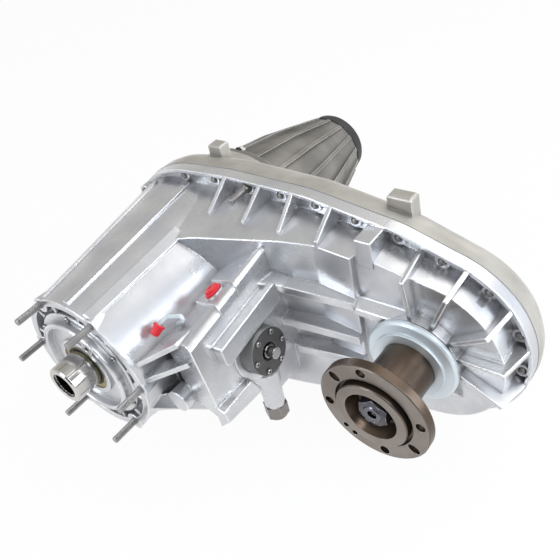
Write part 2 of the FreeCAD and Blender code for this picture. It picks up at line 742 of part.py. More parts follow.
# Rear case
rear_inset = 9.0
rear_r = [r - shrink for r, shrink in zip(rim_r, rear_end_shrink)]
rounding = [outline(rim_r, parting_y)]
for y, inset in rear_round:
    rounding.append(outline(rear_r, y, inset))
    rounding[-1].rotate(V(0, 0, 0), V(0, 1, 0), rear_turn)
rear_outer = fuse([Part.makeLoft(rounding, True, True), cone(dome_r, dome_end_r, rear_wall_y - 8, dome_end_y)])
rear_lugs = [block(lug_x - lug_w / 2, lug_x + lug_w / 2, lug_y, lug_y + lug_len, 80, rim_z(lug_x) + lug_h),
             block(small_lug_x - small_lug_w / 2, small_lug_x + small_lug_w / 2, small_lug_y,
                   small_lug_y + small_lug_len, 80, rim_z(small_lug_x) + small_lug_h)]
rear_lugs[0] = rear_lugs[0].makeFillet(3.0, [e for e in rear_lugs[0].Edges if e.CenterOfMass.z > rim_z(lug_x) + 3])
rear_lugs[1] = rear_lugs[1].makeFillet(2.5, [e for e in rear_lugs[1].Edges
                                             if e.CenterOfMass.z > rim_z(small_lug_x) + 3])
rear_stripes = []
for deg in (-150, -112, 25, 60, 98, 140, 180, 215):
    rear_stripes.append(block(dome_r - 14, dome_r - 1, rear_wall_y - 4, dome_end_y - 8, -3, 3))
    rear_stripes[-1].rotate(V(0, 0, 0), V(0, 1, 0), -deg)
pump_front_y = 236.0
web_y = pump_front_y + pump_w
web_t = 8.0
tail_brg_y = web_y + 6
rear_outer = fuse([rear_outer] + rear_lugs + rear_stripes)
room_shape = [outline(rim_r, parting_y - 1, rear_inset), outline(rear_r, rear_wall_y - 22, rear_inset),
              outline(rear_r, rear_wall_y - 15, rear_inset + 4), outline(rear_r, rear_wall_y - 9, rear_inset + 13)]
for wire in room_shape[1:]:
    wire.rotate(V(0, 0, 0), V(0, 1, 0), rear_turn)
rear_room = Part.makeLoft(room_shape, True, True)
solid_bolts = [cyl(bolt_boss_r + 1, parting_y - 2, rear_wall_y, x, z) for x, z in rim_bolts + dowel_at]
rear_room = rear_room.cut(solid_bolts[0].multiFuse(solid_bolts[1:]))
dome_room = cyl(dome_r - 24, rear_wall_y - 10, web_y).fuse(cyl(dome_r - 24, web_y + web_t, dome_end_y + 1))
rear_case = rear_outer.cut(rear_room).cut(dome_room)
back_brg_y = pump_front_y
rear_case = rear_case.fuse(cyl(back_brg_r + 7, back_brg_y - 3, rear_wall_y - 2, shaft_centres))
rear_case = rear_case.fuse(cyl(tail_brg_r + 8, web_y + 1, tail_brg_y + tail_brg_w + 3))
rail_end_y = rear_wall_y - 12
rear_case = rear_case.fuse(cyl(rail_r + 5, rail_end_y - 10, rear_wall_y - 2, *rail_at))
magnet_x = 70.0
magnet_y = (parting_y + 4, parting_y + 18)
magnet_z = -rim_z(magnet_x, rear_inset) - 1
fill_y = rear_wall_y - 10
bolt_tip_y = parting_y + 11
cuts = [cyl(bolt_r + seat_gap, parting_y - 1, bolt_tip_y, x, z) for x, z in rim_bolts]
cuts += [cyl(dowel_r + seat_gap, parting_y - 1, parting_y + 6, x, z) for x, z in dowel_at]
cuts += around(cyl(ext_bolt_r + seat_gap, dome_end_y - 17, dome_end_y + 1, ext_bolt_circle_r, 0), ext_bolts, 0, 0, 30)
cuts.append(cyl(tail_brg_r + seat_gap, tail_brg_y, tail_brg_y + tail_brg_w + 4))
cuts.append(cyl(main_r + 4, web_y - 5, tail_brg_y + 1))
cuts.append(cyl(back_brg_r + seat_gap, back_brg_y - 4, back_brg_y + back_brg_w, shaft_centres))
cuts.append(cyl(rail_r + seat_gap, rail_end_y - 12, rail_end_y, *rail_at))
cuts.append(cyl(fill_thread_r + seat_gap, fill_y - 6, rear_wall_y + 1, fill_x, fill_z))
cuts.append(block(magnet_x - 10 - seat_gap, magnet_x + 10 + seat_gap, magnet_y[0] - seat_gap,
                  magnet_y[1] + seat_gap, magnet_z, magnet_z + 20))
rear_case = rear_case.cut(cuts[0].multiFuse(cuts[1:]))
save("rear_case", rear_case)

# Extension housing with its long ribs
flange_end_y = dome_end_y + ext_flange


def ext_r(y):
    if y < ext_mid_y:
        return ext_base_r + (ext_mid_r - ext_base_r) * (y - flange_end_y) / (ext_mid_y - flange_end_y)
    return ext_mid_r + (ext_end_r - ext_mid_r) * (y - ext_mid_y) / (ext_end_y - ext_mid_y)


bushing_end_y = ext_end_y - tail_seal_in - 2
bushing_front_y = bushing_end_y - bushing_len
bushing_out_r = yoke_r + bushing_wall
ext_outer = lathe([(0, dome_end_y), (dome_end_r, dome_end_y), (dome_end_r - 1.5, flange_end_y),
                   (ext_base_r, flange_end_y + 4), (ext_mid_r, ext_mid_y), (ext_end_r, ext_end_y), (0, ext_end_y)])
ext_bore = bushing_out_r + seat_gap
ext_room = lathe([(0, dome_end_y - 1), (ext_base_r - 6, dome_end_y - 1), (ext_r(330) - ext_wall, 330),
                  (ext_mid_r - ext_wall, ext_mid_y), (ext_r(440) - ext_wall, 440),
                  (ext_bore + 3, bushing_front_y - 4), (ext_bore, bushing_front_y), (ext_bore, bushing_end_y),
                  (tail_seal_r + seat_gap, bushing_end_y + 2), (tail_seal_r + seat_gap, ext_end_y + 1),
                  (0, ext_end_y + 1)])
rib_start_y = flange_end_y - 2
rib_end_y = ext_end_y - 18
rib = Part.Face(Part.makePolygon([V(ext_r(rib_start_y) - 4, rib_start_y, 0), V(ext_r(rib_start_y) + 4, rib_start_y, 0),
                                  V(ext_mid_r + ext_rib_h, ext_mid_y, 0), V(ext_r(rib_end_y) + 3, rib_end_y, 0),
                                  V(ext_r(rib_end_y) - 3, rib_end_y, 0), V(ext_mid_r - 3, ext_mid_y, 0),
                                  V(ext_r(rib_start_y) - 4, rib_start_y, 0)])).extrude(V(0, 0, ext_rib_w))
rib.translate(V(0, 0, -ext_rib_w / 2))
extension = fuse([ext_outer] + around(rib, ext_ribs, 0, 0, 11.25))
cuts = around(cyl(ext_bolt_r + seat_gap, dome_end_y - 1, flange_end_y + 1, ext_bolt_circle_r, 0), ext_bolts, 0, 0, 30)
cuts += around(cyl(ext_bolt_r + 5, flange_end_y - 1, flange_end_y + 12, ext_bolt_circle_r, 0), ext_bolts, 0, 0, 30)
extension = extension.cut(ext_room).cut(cuts[0].multiFuse(cuts[1:]))
save("extension_housing", extension)

# Retainer of the input bearing, with its raised ring, two notched lugs and seal
retainer_front_y = front_wall_y - retainer_flange
ring_front_y = -retainer_ring_out
ring_inner_r = retainer_ring_r - retainer_ring_wall
seal_y = front_wall_y - 4 - input_seal_len
seat_lip = 5.0
retainer = lathe([(input_r + 4, front_wall_y), (retainer_r, front_wall_y), (retainer_r, retainer_front_y + 1),
                  (retainer_r - 1, retainer_front_y), (retainer_ring_r + 0.5, retainer_front_y),
                  (retainer_ring_r, ring_front_y + 1.5), (retainer_ring_r - 1.5, ring_front_y),
                  (ring_inner_r + 1, ring_front_y), (ring_inner_r, ring_front_y + 1), (ring_inner_r - 2, 0),
                  (input_seal_r + seat_lip, 0), (input_seal_r + seat_lip, seal_y - 1),
                  (input_seal_r + seat_gap, seal_y - 1), (input_seal_r + seat_gap, seal_y + input_seal_len),
                  (input_r + 4, seal_y + input_seal_len)])
lugs = []
for deg in (58.0, 238.0):
    lug = block(input_seal_r + seat_lip + 1, ring_inner_r + 1, ring_front_y + 2.5, 1, -7, 7)
    lug = lug.cut(block(input_seal_r, ring_inner_r - 4, ring_front_y, ring_front_y + 6, -3, 3))
    lug.rotate(V(0, 0, 0), V(0, 1, 0), -deg)
    lugs.append(lug)
retainer = fuse([retainer] + lugs)
holes = around(cyl(retainer_screw_r + seat_gap, 0, front_wall_y + 1, retainer_screw_circle_r, 0), retainer_screws,
               0, 0, 30)
retainer = retainer.cut(holes[0].multiFuse(holes[1:]))
save("input_retainer", retainer)
screw_head = 2.4
screw_head_r = 3.6
screw = cyl(retainer_screw_r, retainer_front_y - 0.5, front_wall_y + retainer_screw_in, retainer_screw_circle_r, 0)
screw = screw.fuse(cyl(screw_head_r, retainer_front_y - screw_head, retainer_front_y, retainer_screw_circle_r, 0))
save("retainer_bolts", Part.Compound(around(screw, retainer_screws, 0, 0, 30)))
save("input_seal", lathe([(input_r + run_gap, seal_y), (input_seal_r, seal_y),
                          (input_seal_r, seal_y + input_seal_len), (input_seal_r - 3, seal_y + input_seal_len),
                          (input_seal_r - 3, seal_y + 3), (input_r + run_gap, seal_y + 3)]))
input_brg_end = input_brg_y + input_brg_w
save("input_bearing", ring(input_brg_r, input_r + seat_gap, input_brg_y, input_brg_end))

# Input shaft with the sun gear
sun_r = gear_module * sun_teeth / 2 - mesh_gap
gear_end_y = gear_front_y + gear_w
pilot_bore_y = gear_front_y - 7
sun_front_y = input_brg_end + 6
input_shaft = lathe([(input_spline_r, input_front_y), (input_r - 1.5, input_front_y), (input_r, input_front_y + 1.5),
                     (input_r, input_brg_end), (input_neck_r, input_brg_end), (input_neck_r, sun_front_y),
                     (0, sun_front_y), (0, input_front_y + input_spline_len),
                     (input_spline_r, input_front_y + input_spline_len)])
save("input_shaft", input_shaft)
save("sun_gear", lathe([(0, sun_front_y), (input_neck_r, sun_front_y), (input_neck_r, gear_front_y),
                        (sun_r, gear_front_y), (sun_r, gear_end_y), (pilot_r + run_gap, gear_end_y),
                        (pilot_r + run_gap, pilot_bore_y), (0, pilot_bore_y)]))

# Ring gear, planet carrier, pins and planets
ring_gear_r = gear_module * ring_teeth / 2 + mesh_gap
planet_gear_r = gear_module * planet_teeth / 2 - mesh_gap
planet_centre_r = gear_module * (sun_teeth + planet_teeth) / 2
save("annulus_gear", ring(annulus_r, ring_gear_r, gear_front_y - 3, seat_end_y - 2))
front_plate_y = gear_front_y - plate_gap - plate_w
rear_plate_y = gear_end_y + plate_gap
hub_end_y = collar_y - collar_w / 2 - 9.5
carrier = fuse([ring(carrier_r, input_neck_r + 1.5, front_plate_y, front_plate_y + plate_w),
                ring(carrier_r, main_r + free_gap, rear_plate_y, rear_plate_y + plate_w),
                ring(main_hub_r + 4, main_r + free_gap, rear_plate_y + plate_w - 1, hub_end_y)]
               + around(cyl(7.5, front_plate_y + 1, rear_plate_y + 1, planet_centre_r, 0), planet_count, 0, 0, 45))
pins = around(cyl(pin_r + seat_gap, front_plate_y - 1, rear_plate_y + plate_w + 1, planet_centre_r, 0), planet_count)
save("planet_carrier", carrier.cut(pins[0].multiFuse(pins[1:])))
pins = around(cyl(pin_r, front_plate_y, rear_plate_y + plate_w, planet_centre_r, 0), planet_count)
save("planet_pins", Part.Compound(pins))
planet = ring(planet_gear_r, pin_r + run_gap, gear_front_y, gear_end_y, planet_centre_r, 0)
for i, p in enumerate(around(planet, planet_count)):
    save("planet_gear_%d" % (i + 1), p)

# Main shaft with its splined hub
main_shaft = lathe([(0, pilot_bore_y + 5), (pilot_r, pilot_bore_y + 5), (pilot_r, gear_end_y + 0.5),
                    (main_r, gear_end_y + 0.5), (main_r, main_hub_y[0]), (main_hub_r, main_hub_y[0]),
                    (main_hub_r, main_hub_y[1]), (main_r, main_hub_y[1]), (main_r, main_end_y - tail_spline_len),
                    (tail_spline_r, main_end_y - tail_spline_len), (tail_spline_r, main_end_y), (0, main_end_y)])
save("main_shaft", main_shaft)


def grooved(y):
    """Sliding ring with a fork groove."""
    return lathe([(main_hub_r + run_gap, y - collar_w / 2), (collar_r, y - collar_w / 2),
                  (collar_r, y - groove_w / 2), (groove_r, y - groove_w / 2), (groove_r, y + groove_w / 2),
                  (collar_r, y + groove_w / 2), (collar_r, y + collar_w / 2), (main_hub_r + run_gap, y + collar_w / 2)])


save("range_collar", grooved(collar_y))
save("mode_sleeve", grooved(sleeve_y))

# Forks on the rail, each with a pin in a slot of the sector
pin_end_x = sector_plate_x + sector_plate_w + 1.5


def fork(y, hub_y0, hub_y1):
    """Fork round a collar and its hub on the rail."""
    toward = math.degrees(math.atan2(rail_at[1], rail_at[0]))
    arms = ring(fork_r, groove_r + free_gap, y - fork_w / 2, y + fork_w / 2)
    keep = block(-8, 200, y - 30, y + 30, -fork_r - 5, fork_r + 5)
    keep.rotate(V(0, 0, 0), V(0, 1, 0), -toward)
    reach = math.hypot(*rail_at)
    bridge = block(groove_r + 6, reach, y - fork_w / 2, y + fork_w / 2, -11, 11)
    bridge.rotate(V(0, 0, 0), V(0, 1, 0), -toward)
    return [arms.common(keep), bridge, cyl(rail_hub_r, hub_y0, hub_y1, *rail_at)]


rail_hole = cyl(rail_r + run_gap, 0, 300, *rail_at)
range_parts = fork(collar_y, 92, collar_y + fork_w / 2)
range_parts.append(lean(block(rail_x - 2, rail_x + 8, sector_y - 5, sector_y + 5, rail_z, sector_z + cam_r + 5)))
range_parts.append(lean(Part.makeCylinder(cam_pin_r, pin_end_x - rail_x - 4, V(rail_x + 4, sector_y, sector_z + cam_r),
                                          V(1, 0, 0))))
save("range_fork", fuse(range_parts).cut(rail_hole))
mode_hub_y = sleeve_y - 20
mode_parts = fork(sleeve_y, mode_hub_y, sleeve_y + 10)
mode_parts.append(lean(block(rail_x + 4, rail_x + 19.5, mode_hub_y, mode_hub_y + 12, rail_z - 5, rail_z + 14)))
mode_parts.append(lean(block(rail_x + 12.5, rail_x + 19.5, sector_y - 5, mode_hub_y + 1, rail_z + 4, rail_z + 14)))
mode_parts.append(lean(Part.makeCylinder(cam_pin_r, pin_end_x - rail_x - 15, V(rail_x + 15, sector_y, sector_z - cam_r),
                                         V(1, 0, 0))))
save("mode_fork", fuse(mode_parts).cut(rail_hole))
save("shift_rail", cyl(rail_r, rail_boss_y + 6.2, rail_end_y - 0.2, *rail_at))

# Sector: a plate with two open slots on the shaft that comes out through its retainer
plate = Part.makeCylinder(sector_plate_r, sector_plate_w, V(sector_plate_x, sector_y, sector_z), V(1, 0, 0))
slot = 2 * (cam_pin_r + cam_gap)
for side in (1, -1):
    z0 = sector_z + side * (cam_r - cam_pin_r - 1.5)
    z1 = sector_z + side * (sector_plate_r + 5)
    plate = plate.cut(block(sector_plate_x - 1, sector_plate_x + sector_plate_w + 1, sector_y - slot / 2,
                            sector_y + slot / 2, min(z0, z1), max(z0, z1)))
sector = fuse([lean(plate), sector_axis(sector_journal_r, sector_plate_x - 3, shift_face_x),
               sector_axis(sector_r, shift_face_x - 1, sector_tip_x)])
save("sector_shaft", sector)
shift_retainer = sector_axis(shift_retainer_r, shift_seat_x + seat_gap, shift_face_x)
shift_retainer = shift_retainer.fuse(sector_axis(shift_spigot_r, shift_seat_x - shift_spigot_in, shift_face_x - 1))
shift_retainer = shift_retainer.cut(sector_axis(sector_journal_r + run_gap, 100, 200))
shift_retainer = shift_retainer.cut(sector_axis(shift_bore_r, shift_face_x - 7, 200))
holes = beside(shift_screw_r + seat_gap, shift_seat_x - 1, shift_face_x + 1, shift_screw_circle_r, shift_screws)
shift_retainer = shift_retainer.cut(holes[0].multiFuse(holes[1:]))
save("shift_retainer", shift_retainer)
screws = beside(shift_screw_r, shift_seat_x - shift_screw_in, shift_face_x + 0.5, shift_screw_circle_r, shift_screws)
heads = beside(3.0, shift_face_x, shift_face_x + 2, shift_screw_circle_r, shift_screws)
save("shift_retainer_screws", Part.Compound([a.fuse(b) for a, b in zip(screws, heads)]))

# Chain drive
sprocket_front_y = sprocket_y - sprocket_w / 2
sprocket_end_y = sprocket_y + sprocket_w / 2
hub_front = main_hub_y[1] + 8
drive_sprocket = fuse([ring(sprocket_r, main_r + run_gap, sprocket_front_y, sprocket_end_y),
                       ring(sprocket_hub_r, main_r + run_gap, hub_front, pump_front_y - 6)])
save("drive_sprocket", drive_sprocket)
out_r = 20.0
front_brg_end = front_brg_y + front_brg_w
driven_sprocket = fuse([ring(sprocket_r, out_r + seat_gap, sprocket_front_y, sprocket_end_y, shaft_centres),
                        ring(sprocket_hub_r, out_r + seat_gap, front_brg_end + 1, pump_front_y - 10, shaft_centres)])
save("driven_sprocket", driven_sprocket)


def stadium(r, y0, y1):
    body = block(0, shaft_centres, y0, y1, -r, r)
    return fuse([body, cyl(r, y0, y1), cyl(r, y0, y1, shaft_centres)])


chain_in = sprocket_r + free_gap
chain = stadium(chain_in + chain_t, sprocket_front_y + 2, sprocket_end_y - 2)
save("drive_chain", chain.cut(stadium(chain_in, sprocket_front_y, sprocket_end_y)))

# Front output shaft, bearings, seal, flange, nut and deflector
flange_back_y = flange_front_y + flange_t
recess_y = flange_front_y + nut_recess_depth
nut_r = 10.0
neck_r = 17.0
shaft_front_y = recess_y - nut_t
front_shaft = lathe([(0, shaft_front_y), (nut_r, shaft_front_y), (nut_r, recess_y + 4),
                     (neck_r, recess_y + 4), (neck_r, front_brg_y - 0.3), (out_r, front_brg_y - 0.3),
                     (out_r, pump_front_y - 10), (back_brg_bore_r, pump_front_y - 10),
                     (back_brg_bore_r, back_brg_y + back_brg_w - 0.3), (0, back_brg_y + back_brg_w - 0.3)],
                    shaft_centres)
save("front_output_shaft", front_shaft)
save("front_output_bearing", ring(front_brg_r, out_r + seat_gap, front_brg_y, front_brg_end, shaft_centres))
save("front_output_rear_bearing", ring(back_brg_r, back_brg_bore_r + seat_gap, back_brg_y, back_brg_y + back_brg_w,
                                       shaft_centres))
save("front_output_seal", ring(output_seal_r, flange_hub_r + run_gap, output_hub_front_y,
                               output_hub_front_y + output_seal_w, shaft_centres))
flange = lathe([(nut_r + free_gap, recess_y), (nut_recess_r, recess_y), (nut_recess_r, flange_front_y + pilot_depth),
                (pilot_recess_r, flange_front_y + pilot_depth), (pilot_recess_r, flange_front_y),
                (flange_r - 1, flange_front_y), (flange_r, flange_front_y + 1), (flange_r, flange_back_y - 1),
                (flange_r - 1, flange_back_y), (flange_hub_r + 5, flange_back_y), (flange_hub_r, flange_back_y + 6),
                (flange_hub_r, front_brg_y - 0.5), (neck_r + seat_gap, front_brg_y - 0.5),
                (neck_r + seat_gap, recess_y + 4), (nut_r + free_gap, recess_y + 4)], shaft_centres)
holes = around(cyl(flange_hole_r, flange_front_y - 1, flange_back_y + 1, shaft_centres + flange_hole_circle_r, 0),
               flange_holes, shaft_centres, 0, flange_hole_deg)
flange = flange.cut(holes[0].multiFuse(holes[1:]))
save("output_flange", flange)
save("flange_nut", hexagon(nut_af, recess_y - nut_t, recess_y, shaft_centres).cut(
    cyl(nut_r + seat_gap, recess_y - nut_t - 1, recess_y + 1, shaft_centres)))
step_y = deflector_rear_y - 10.6
deflector = lathe([(flange_hub_r + seat_gap, step_y), (deflector_step_r, step_y), (deflector_step_r, step_y + 3),
                   (deflector_r - 2, step_y + 5), (deflector_r, step_y + 7), (deflector_r, deflector_rear_y),
                   (deflector_r - deflector_t, deflector_rear_y), (deflector_r - deflector_t, step_y + 8),
                   (deflector_step_r - deflector_t, step_y + 6), (deflector_step_r - deflector_t, step_y + 3),
                   (flange_hub_r + seat_gap, step_y + 3)], shaft_centres)
save("deflector", deflector)

# Rear bearing, pump, pickup, filter and magnet
save("main_bearing_rear", ring(tail_brg_r, main_r + seat_gap, tail_brg_y, tail_brg_y + tail_brg_w))
pickup_y = pump_front_y + 5
filter_top = -88.0
pump = ring(pump_r, main_r + free_gap, pump_front_y, web_y)
pump = pump.fuse(Part.makeCylinder(pickup_r + 4, 16, V(0, pickup_y, -pump_r - 4)).common(
    block(-20, 20, pump_front_y, web_y, -100, 0)))
pump = pump.cut(cyl(main_r + free_gap, pump_front_y - 1, web_y + 1))
pump = pump.cut(Part.makeCylinder(pickup_r + seat_gap, 12, V(0, pickup_y, -pump_r - 6)))
save("oil_pump", pump)
save("pump_pickup", Part.makeCylinder(pickup_r, -filter_top - pump_r + 6, V(0, pickup_y, filter_top)).cut(
    Part.makeCylinder(pickup_r - 1.5, 100, V(0, pickup_y, filter_top - 1))))
pickup_filter = block(-16, 16, pickup_y - 16, pickup_y + 1.5, filter_top - 10, filter_top)
save("pickup_filter", pickup_filter.makeFillet(2.5, pickup_filter.Edges))
save("magnet", block(magnet_x - 10, magnet_x + 10, magnet_y[0], magnet_y[1], magnet_z + seat_gap, magnet_z + 6))

# Bushing and seal at the tail
save("tail_bushing", ring(bushing_out_r, yoke_r, bushing_front_y, bushing_end_y))
seal_face_y = ext_end_y + tail_seal_out
save("tail_seal", lathe([(yoke_r + free_gap, bushing_end_y + 3), (tail_seal_r, bushing_end_y + 3),
                         (tail_seal_r, ext_end_y + 0.5), (tail_seal_r - 2.5, ext_end_y + 1.5),
                         (tail_seal_r - 2.5, seal_face_y), (yoke_r + 6, seal_face_y),
                         (yoke_r + free_gap, seal_face_y - 4)]))

# Plugs and vent
drain_shape = prism([polar(drain_af / math.sqrt(3), 60 * i) for i in range(6)], 0, drain_head)
drain_shape.rotate(V(0, 0, 0), V(1, 0, 0), -90)
drain_shape.translate(V(drain_x, drain_y, drain_bottom_z))
drain_plug = drain_shape.fuse(Part.makeCylinder(drain_thread_r, 16, V(drain_x, drain_y, drain_bottom_z - 0.5)))
save("drain_plug", drain_plug)
fill_plug = hexagon(drain_af, rear_wall_y, rear_wall_y + drain_head, fill_x, fill_z).fuse(
    cyl(fill_thread_r, fill_y, rear_wall_y + 0.5, fill_x, fill_z))
save("fill_plug", fill_plug)
port_top = port_foot + port_dir * (port_seat - 2)
port_plug = Part.makeCylinder(port_r - 2, 12, port_top - port_dir * 10, port_dir)
port_plug = port_plug.fuse(Part.makeCylinder(port_r, 6, port_top, port_dir))
port_plug = port_plug.fuse(Part.makeCylinder(port_r + 2, 2.5, port_top, port_dir))
save("port_plug", port_plug)
vent_top = vent_foot + port_dir * (vent_seat - 2)
vent_base = vent_top - port_dir * 7
vent_bend_r = 3.2
vent_route = [vent_base, vent_top + port_dir * 4, V(113.5, 59.5, 57.5), V(108, 60, 62), V(98, 52.5, 63.5),
              V(93.5, 43.5, 59), V(92.8, 40.5, 56.8)]
vent_wire = rounded(vent_route, vent_bend_r)
vent_ring = Part.Wire([Part.Circle(vent_base, port_dir, vent_r + 0.5).toShape()])
vent_tube = vent_wire.makePipeShell([vent_ring], True, True)
save("vent_tube", vent_tube)
tip = vent_route[-1]
tip_dir = (tip - vent_route[-2]).normalize()
vent_cap = Part.makeCone(6.5, 5, 12, tip - tip_dir * 3, tip_dir)
vent_cap = vent_cap.cut(vent_tube)
save("vent_cap", vent_cap)

# Fasteners
studs = [cyl(stud_r, -stud_out, 1, *at).fuse(cyl(stud_root_r, 0, stud_in - 0.2, *at)) for at in stud_at]
save("transmission_studs", Part.Compound(studs))


def rim_bolt(x, z):
    return fuse([cyl(bolt_r, bolt_seat_y - 1, bolt_tip_y - 0.5, x, z),
                 cyl(bolt_washer_r, bolt_seat_y - 1.5, bolt_seat_y, x, z),
                 hexagon(bolt_af, bolt_seat_y - 7, bolt_seat_y - 1, x, z)])


save("case_bolts", Part.Compound([rim_bolt(x, z) for x, z in rim_bolts if (x, z) != long_stud_at]))
bracket_stud = cyl(bolt_r, rim_front_y - long_stud_out, bolt_tip_y - 0.5, *long_stud_at)
bracket_stud = bracket_stud.fuse(hexagon(bolt_af, bolt_seat_y - 7, bolt_seat_y, *long_stud_at))
save("bracket_stud", bracket_stud)
ext_bolt = cyl(ext_bolt_r, dome_end_y - 16, flange_end_y + 0.5, ext_bolt_circle_r, 0)
ext_bolt = ext_bolt.fuse(hexagon(12, flange_end_y, flange_end_y + 6, ext_bolt_circle_r, 0))
save("extension_bolts", Part.Compound(around(ext_bolt, ext_bolts, 0, 0, 30)))
save("dowels", Part.Compound([cyl(dowel_r, parting_y - 5.8, parting_y + 5.8, x, z) for x, z in dowel_at]))
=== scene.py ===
import math

import bmesh
import bpy
from mathutils import Matrix, Vector


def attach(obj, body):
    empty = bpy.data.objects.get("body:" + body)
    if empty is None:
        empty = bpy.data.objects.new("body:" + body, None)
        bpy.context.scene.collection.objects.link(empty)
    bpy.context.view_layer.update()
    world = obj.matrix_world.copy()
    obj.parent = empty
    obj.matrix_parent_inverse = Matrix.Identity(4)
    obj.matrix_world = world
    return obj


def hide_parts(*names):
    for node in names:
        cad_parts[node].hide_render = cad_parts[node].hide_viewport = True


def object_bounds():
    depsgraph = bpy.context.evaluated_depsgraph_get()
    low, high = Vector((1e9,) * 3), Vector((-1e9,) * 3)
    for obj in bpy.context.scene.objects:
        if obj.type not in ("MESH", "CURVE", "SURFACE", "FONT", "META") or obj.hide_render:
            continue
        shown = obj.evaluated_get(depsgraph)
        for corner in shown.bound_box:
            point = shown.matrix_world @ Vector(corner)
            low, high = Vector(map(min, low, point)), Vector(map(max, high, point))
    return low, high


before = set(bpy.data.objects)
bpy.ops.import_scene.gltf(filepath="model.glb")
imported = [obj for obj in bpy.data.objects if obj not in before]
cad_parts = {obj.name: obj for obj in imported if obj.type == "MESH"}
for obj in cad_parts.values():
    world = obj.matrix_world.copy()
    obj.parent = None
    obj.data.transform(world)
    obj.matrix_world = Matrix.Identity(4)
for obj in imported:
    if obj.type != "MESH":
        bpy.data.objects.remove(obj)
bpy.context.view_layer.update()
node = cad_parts
scene = bpy.context.scene


# Front case: a die casting in aluminium that was tumbled in fine media, so its skin is
# satin grey. Its corners are rubbed bright and carry a painted highlight, and painted shade darkens its
# inner corners.
# The transmission, the retainers and the rear case all bolt to it.
def feed(tree, socket, value):
    """Joins a socket to another one, or sets it to a plain value."""
    if isinstance(value, bpy.types.NodeSocket):
        tree.links.new(value, socket)
    else:
        socket.default_value = value


def add(tree, kind, inputs=None, **settings):
    """A node with its settings, and with its inputs set or joined."""
    made = tree.nodes.new(kind)
    for name, value in settings.items():
        setattr(made, name, value)
    for key, value in (inputs or {}).items():
        feed(tree, made.inputs[key], value)
    return made


def calc(tree, way, *values):
    """The result of one step of arithmetic on sockets or numbers."""
    return add(tree, "ShaderNodeMath", dict(enumerate(values)), operation=way).outputs["Value"]


def alike(tree, a, b):
    """How far two directions agree: 1 along each other, 0 when square."""
    return add(tree, "ShaderNodeVectorMath", {0: a, 1: b}, operation="DOT_PRODUCT").outputs["Value"]


def stretched(tree, value, low, high):
    """A value stretched so that low becomes 0 and high becomes 1, and held past both ends."""
    fit = add(tree, "ShaderNodeMapRange", {"Value": value, "From Min": low, "From Max": high})
    return fit.outputs["Result"]


def new_group(name, kind, inputs, outputs):
    """A node group with its sockets, and the sockets that give its inputs."""
    tree = bpy.data.node_groups.new(name, kind)
    for label, socket_kind, default in inputs:
        socket = tree.interface.new_socket(name=label, in_out="INPUT", socket_type=socket_kind)
        if default is not None:
            socket.default_value = default
    for label, socket_kind in outputs:
        tree.interface.new_socket(name=label, in_out="OUTPUT", socket_type=socket_kind)
    return tree, tree.nodes.new("NodeGroupInput").outputs


def wear_highlight_and_shade_group():
    """Masks of outer corners, rubbed bright with a painted highlight, and of inner corners for painted
    shade, and the rounded normal.
    """
    tree, given = new_group("wear_highlight_and_shade", "ShaderNodeTree",
                            (("Corner Radius", "NodeSocketFloat", 0.0015),
                             ("Painted Shade Reach", "NodeSocketFloat", 0.007)),
                            (("Wear And Highlight", "NodeSocketFloat"), ("Painted Shade", "NodeSocketFloat"),
                             ("Round Normal", "NodeSocketVector")))
    bevel = add(tree, "ShaderNodeBevel", {"Radius": given["Corner Radius"]}, samples=6)
    flat = add(tree, "ShaderNodeNewGeometry")
    # Where the rounded normal leaves the flat one lies an outer corner: its colour is partly rubbed wear
    # and partly a painted highlight.
    turn = stretched(tree, alike(tree, bevel.outputs["Normal"], flat.outputs["Normal"]),
                     low=0.999, high=0.90)
    # Ambient occlusion finds the inner corners, which get painted shade.
    air = add(tree, "ShaderNodeAmbientOcclusion", {"Distance": given["Painted Shade Reach"]}, samples=6)
    outside = stretched(tree, air.outputs["AO"], low=0.75, high=0.98)
    add(tree, "NodeGroupOutput", {"Wear And Highlight": calc(tree, "MULTIPLY", turn, outside),
                                  "Painted Shade": stretched(tree, air.outputs["AO"], low=0.85, high=0.35),
                                  "Round Normal": bevel.outputs["Normal"]})
    return tree


def metal_grain_group():
    """Height of a sandy skin and a slow patchy tone, both from object space."""
    tree, given = new_group("metal_grain", "ShaderNodeTree",
                            (("Grain Scale", "NodeSocketFloat", 900.0),
                             ("Patch Scale", "NodeSocketFloat", 18.0)),
                            (("Height", "NodeSocketFloat"), ("Patches", "NodeSocketFloat")))
    place = add(tree, "ShaderNodeTexCoord").outputs["Object"]
    grain = add(tree, "ShaderNodeTexNoise", {"Vector": place, "Scale": given["Grain Scale"],
                                             "Detail": 4.0, "Roughness": 0.6})
    patch = add(tree, "ShaderNodeTexNoise", {"Vector": place, "Scale": given["Patch Scale"],
                                             "Detail": 3.0})
    add(tree, "NodeGroupOutput", {"Height": grain.outputs["Fac"],
                                  "Patches": stretched(tree, patch.outputs["Fac"], low=0.35, high=0.65)})
    return tree


wear_highlight_and_shade = wear_highlight_and_shade_group()
metal_grain = metal_grain_group()
# Tint of the painted shade in inner corners.
painted_shade_tint = (0.35, 0.33, 0.30)
dull_patch = 0.06
glossy_patch = 0.05


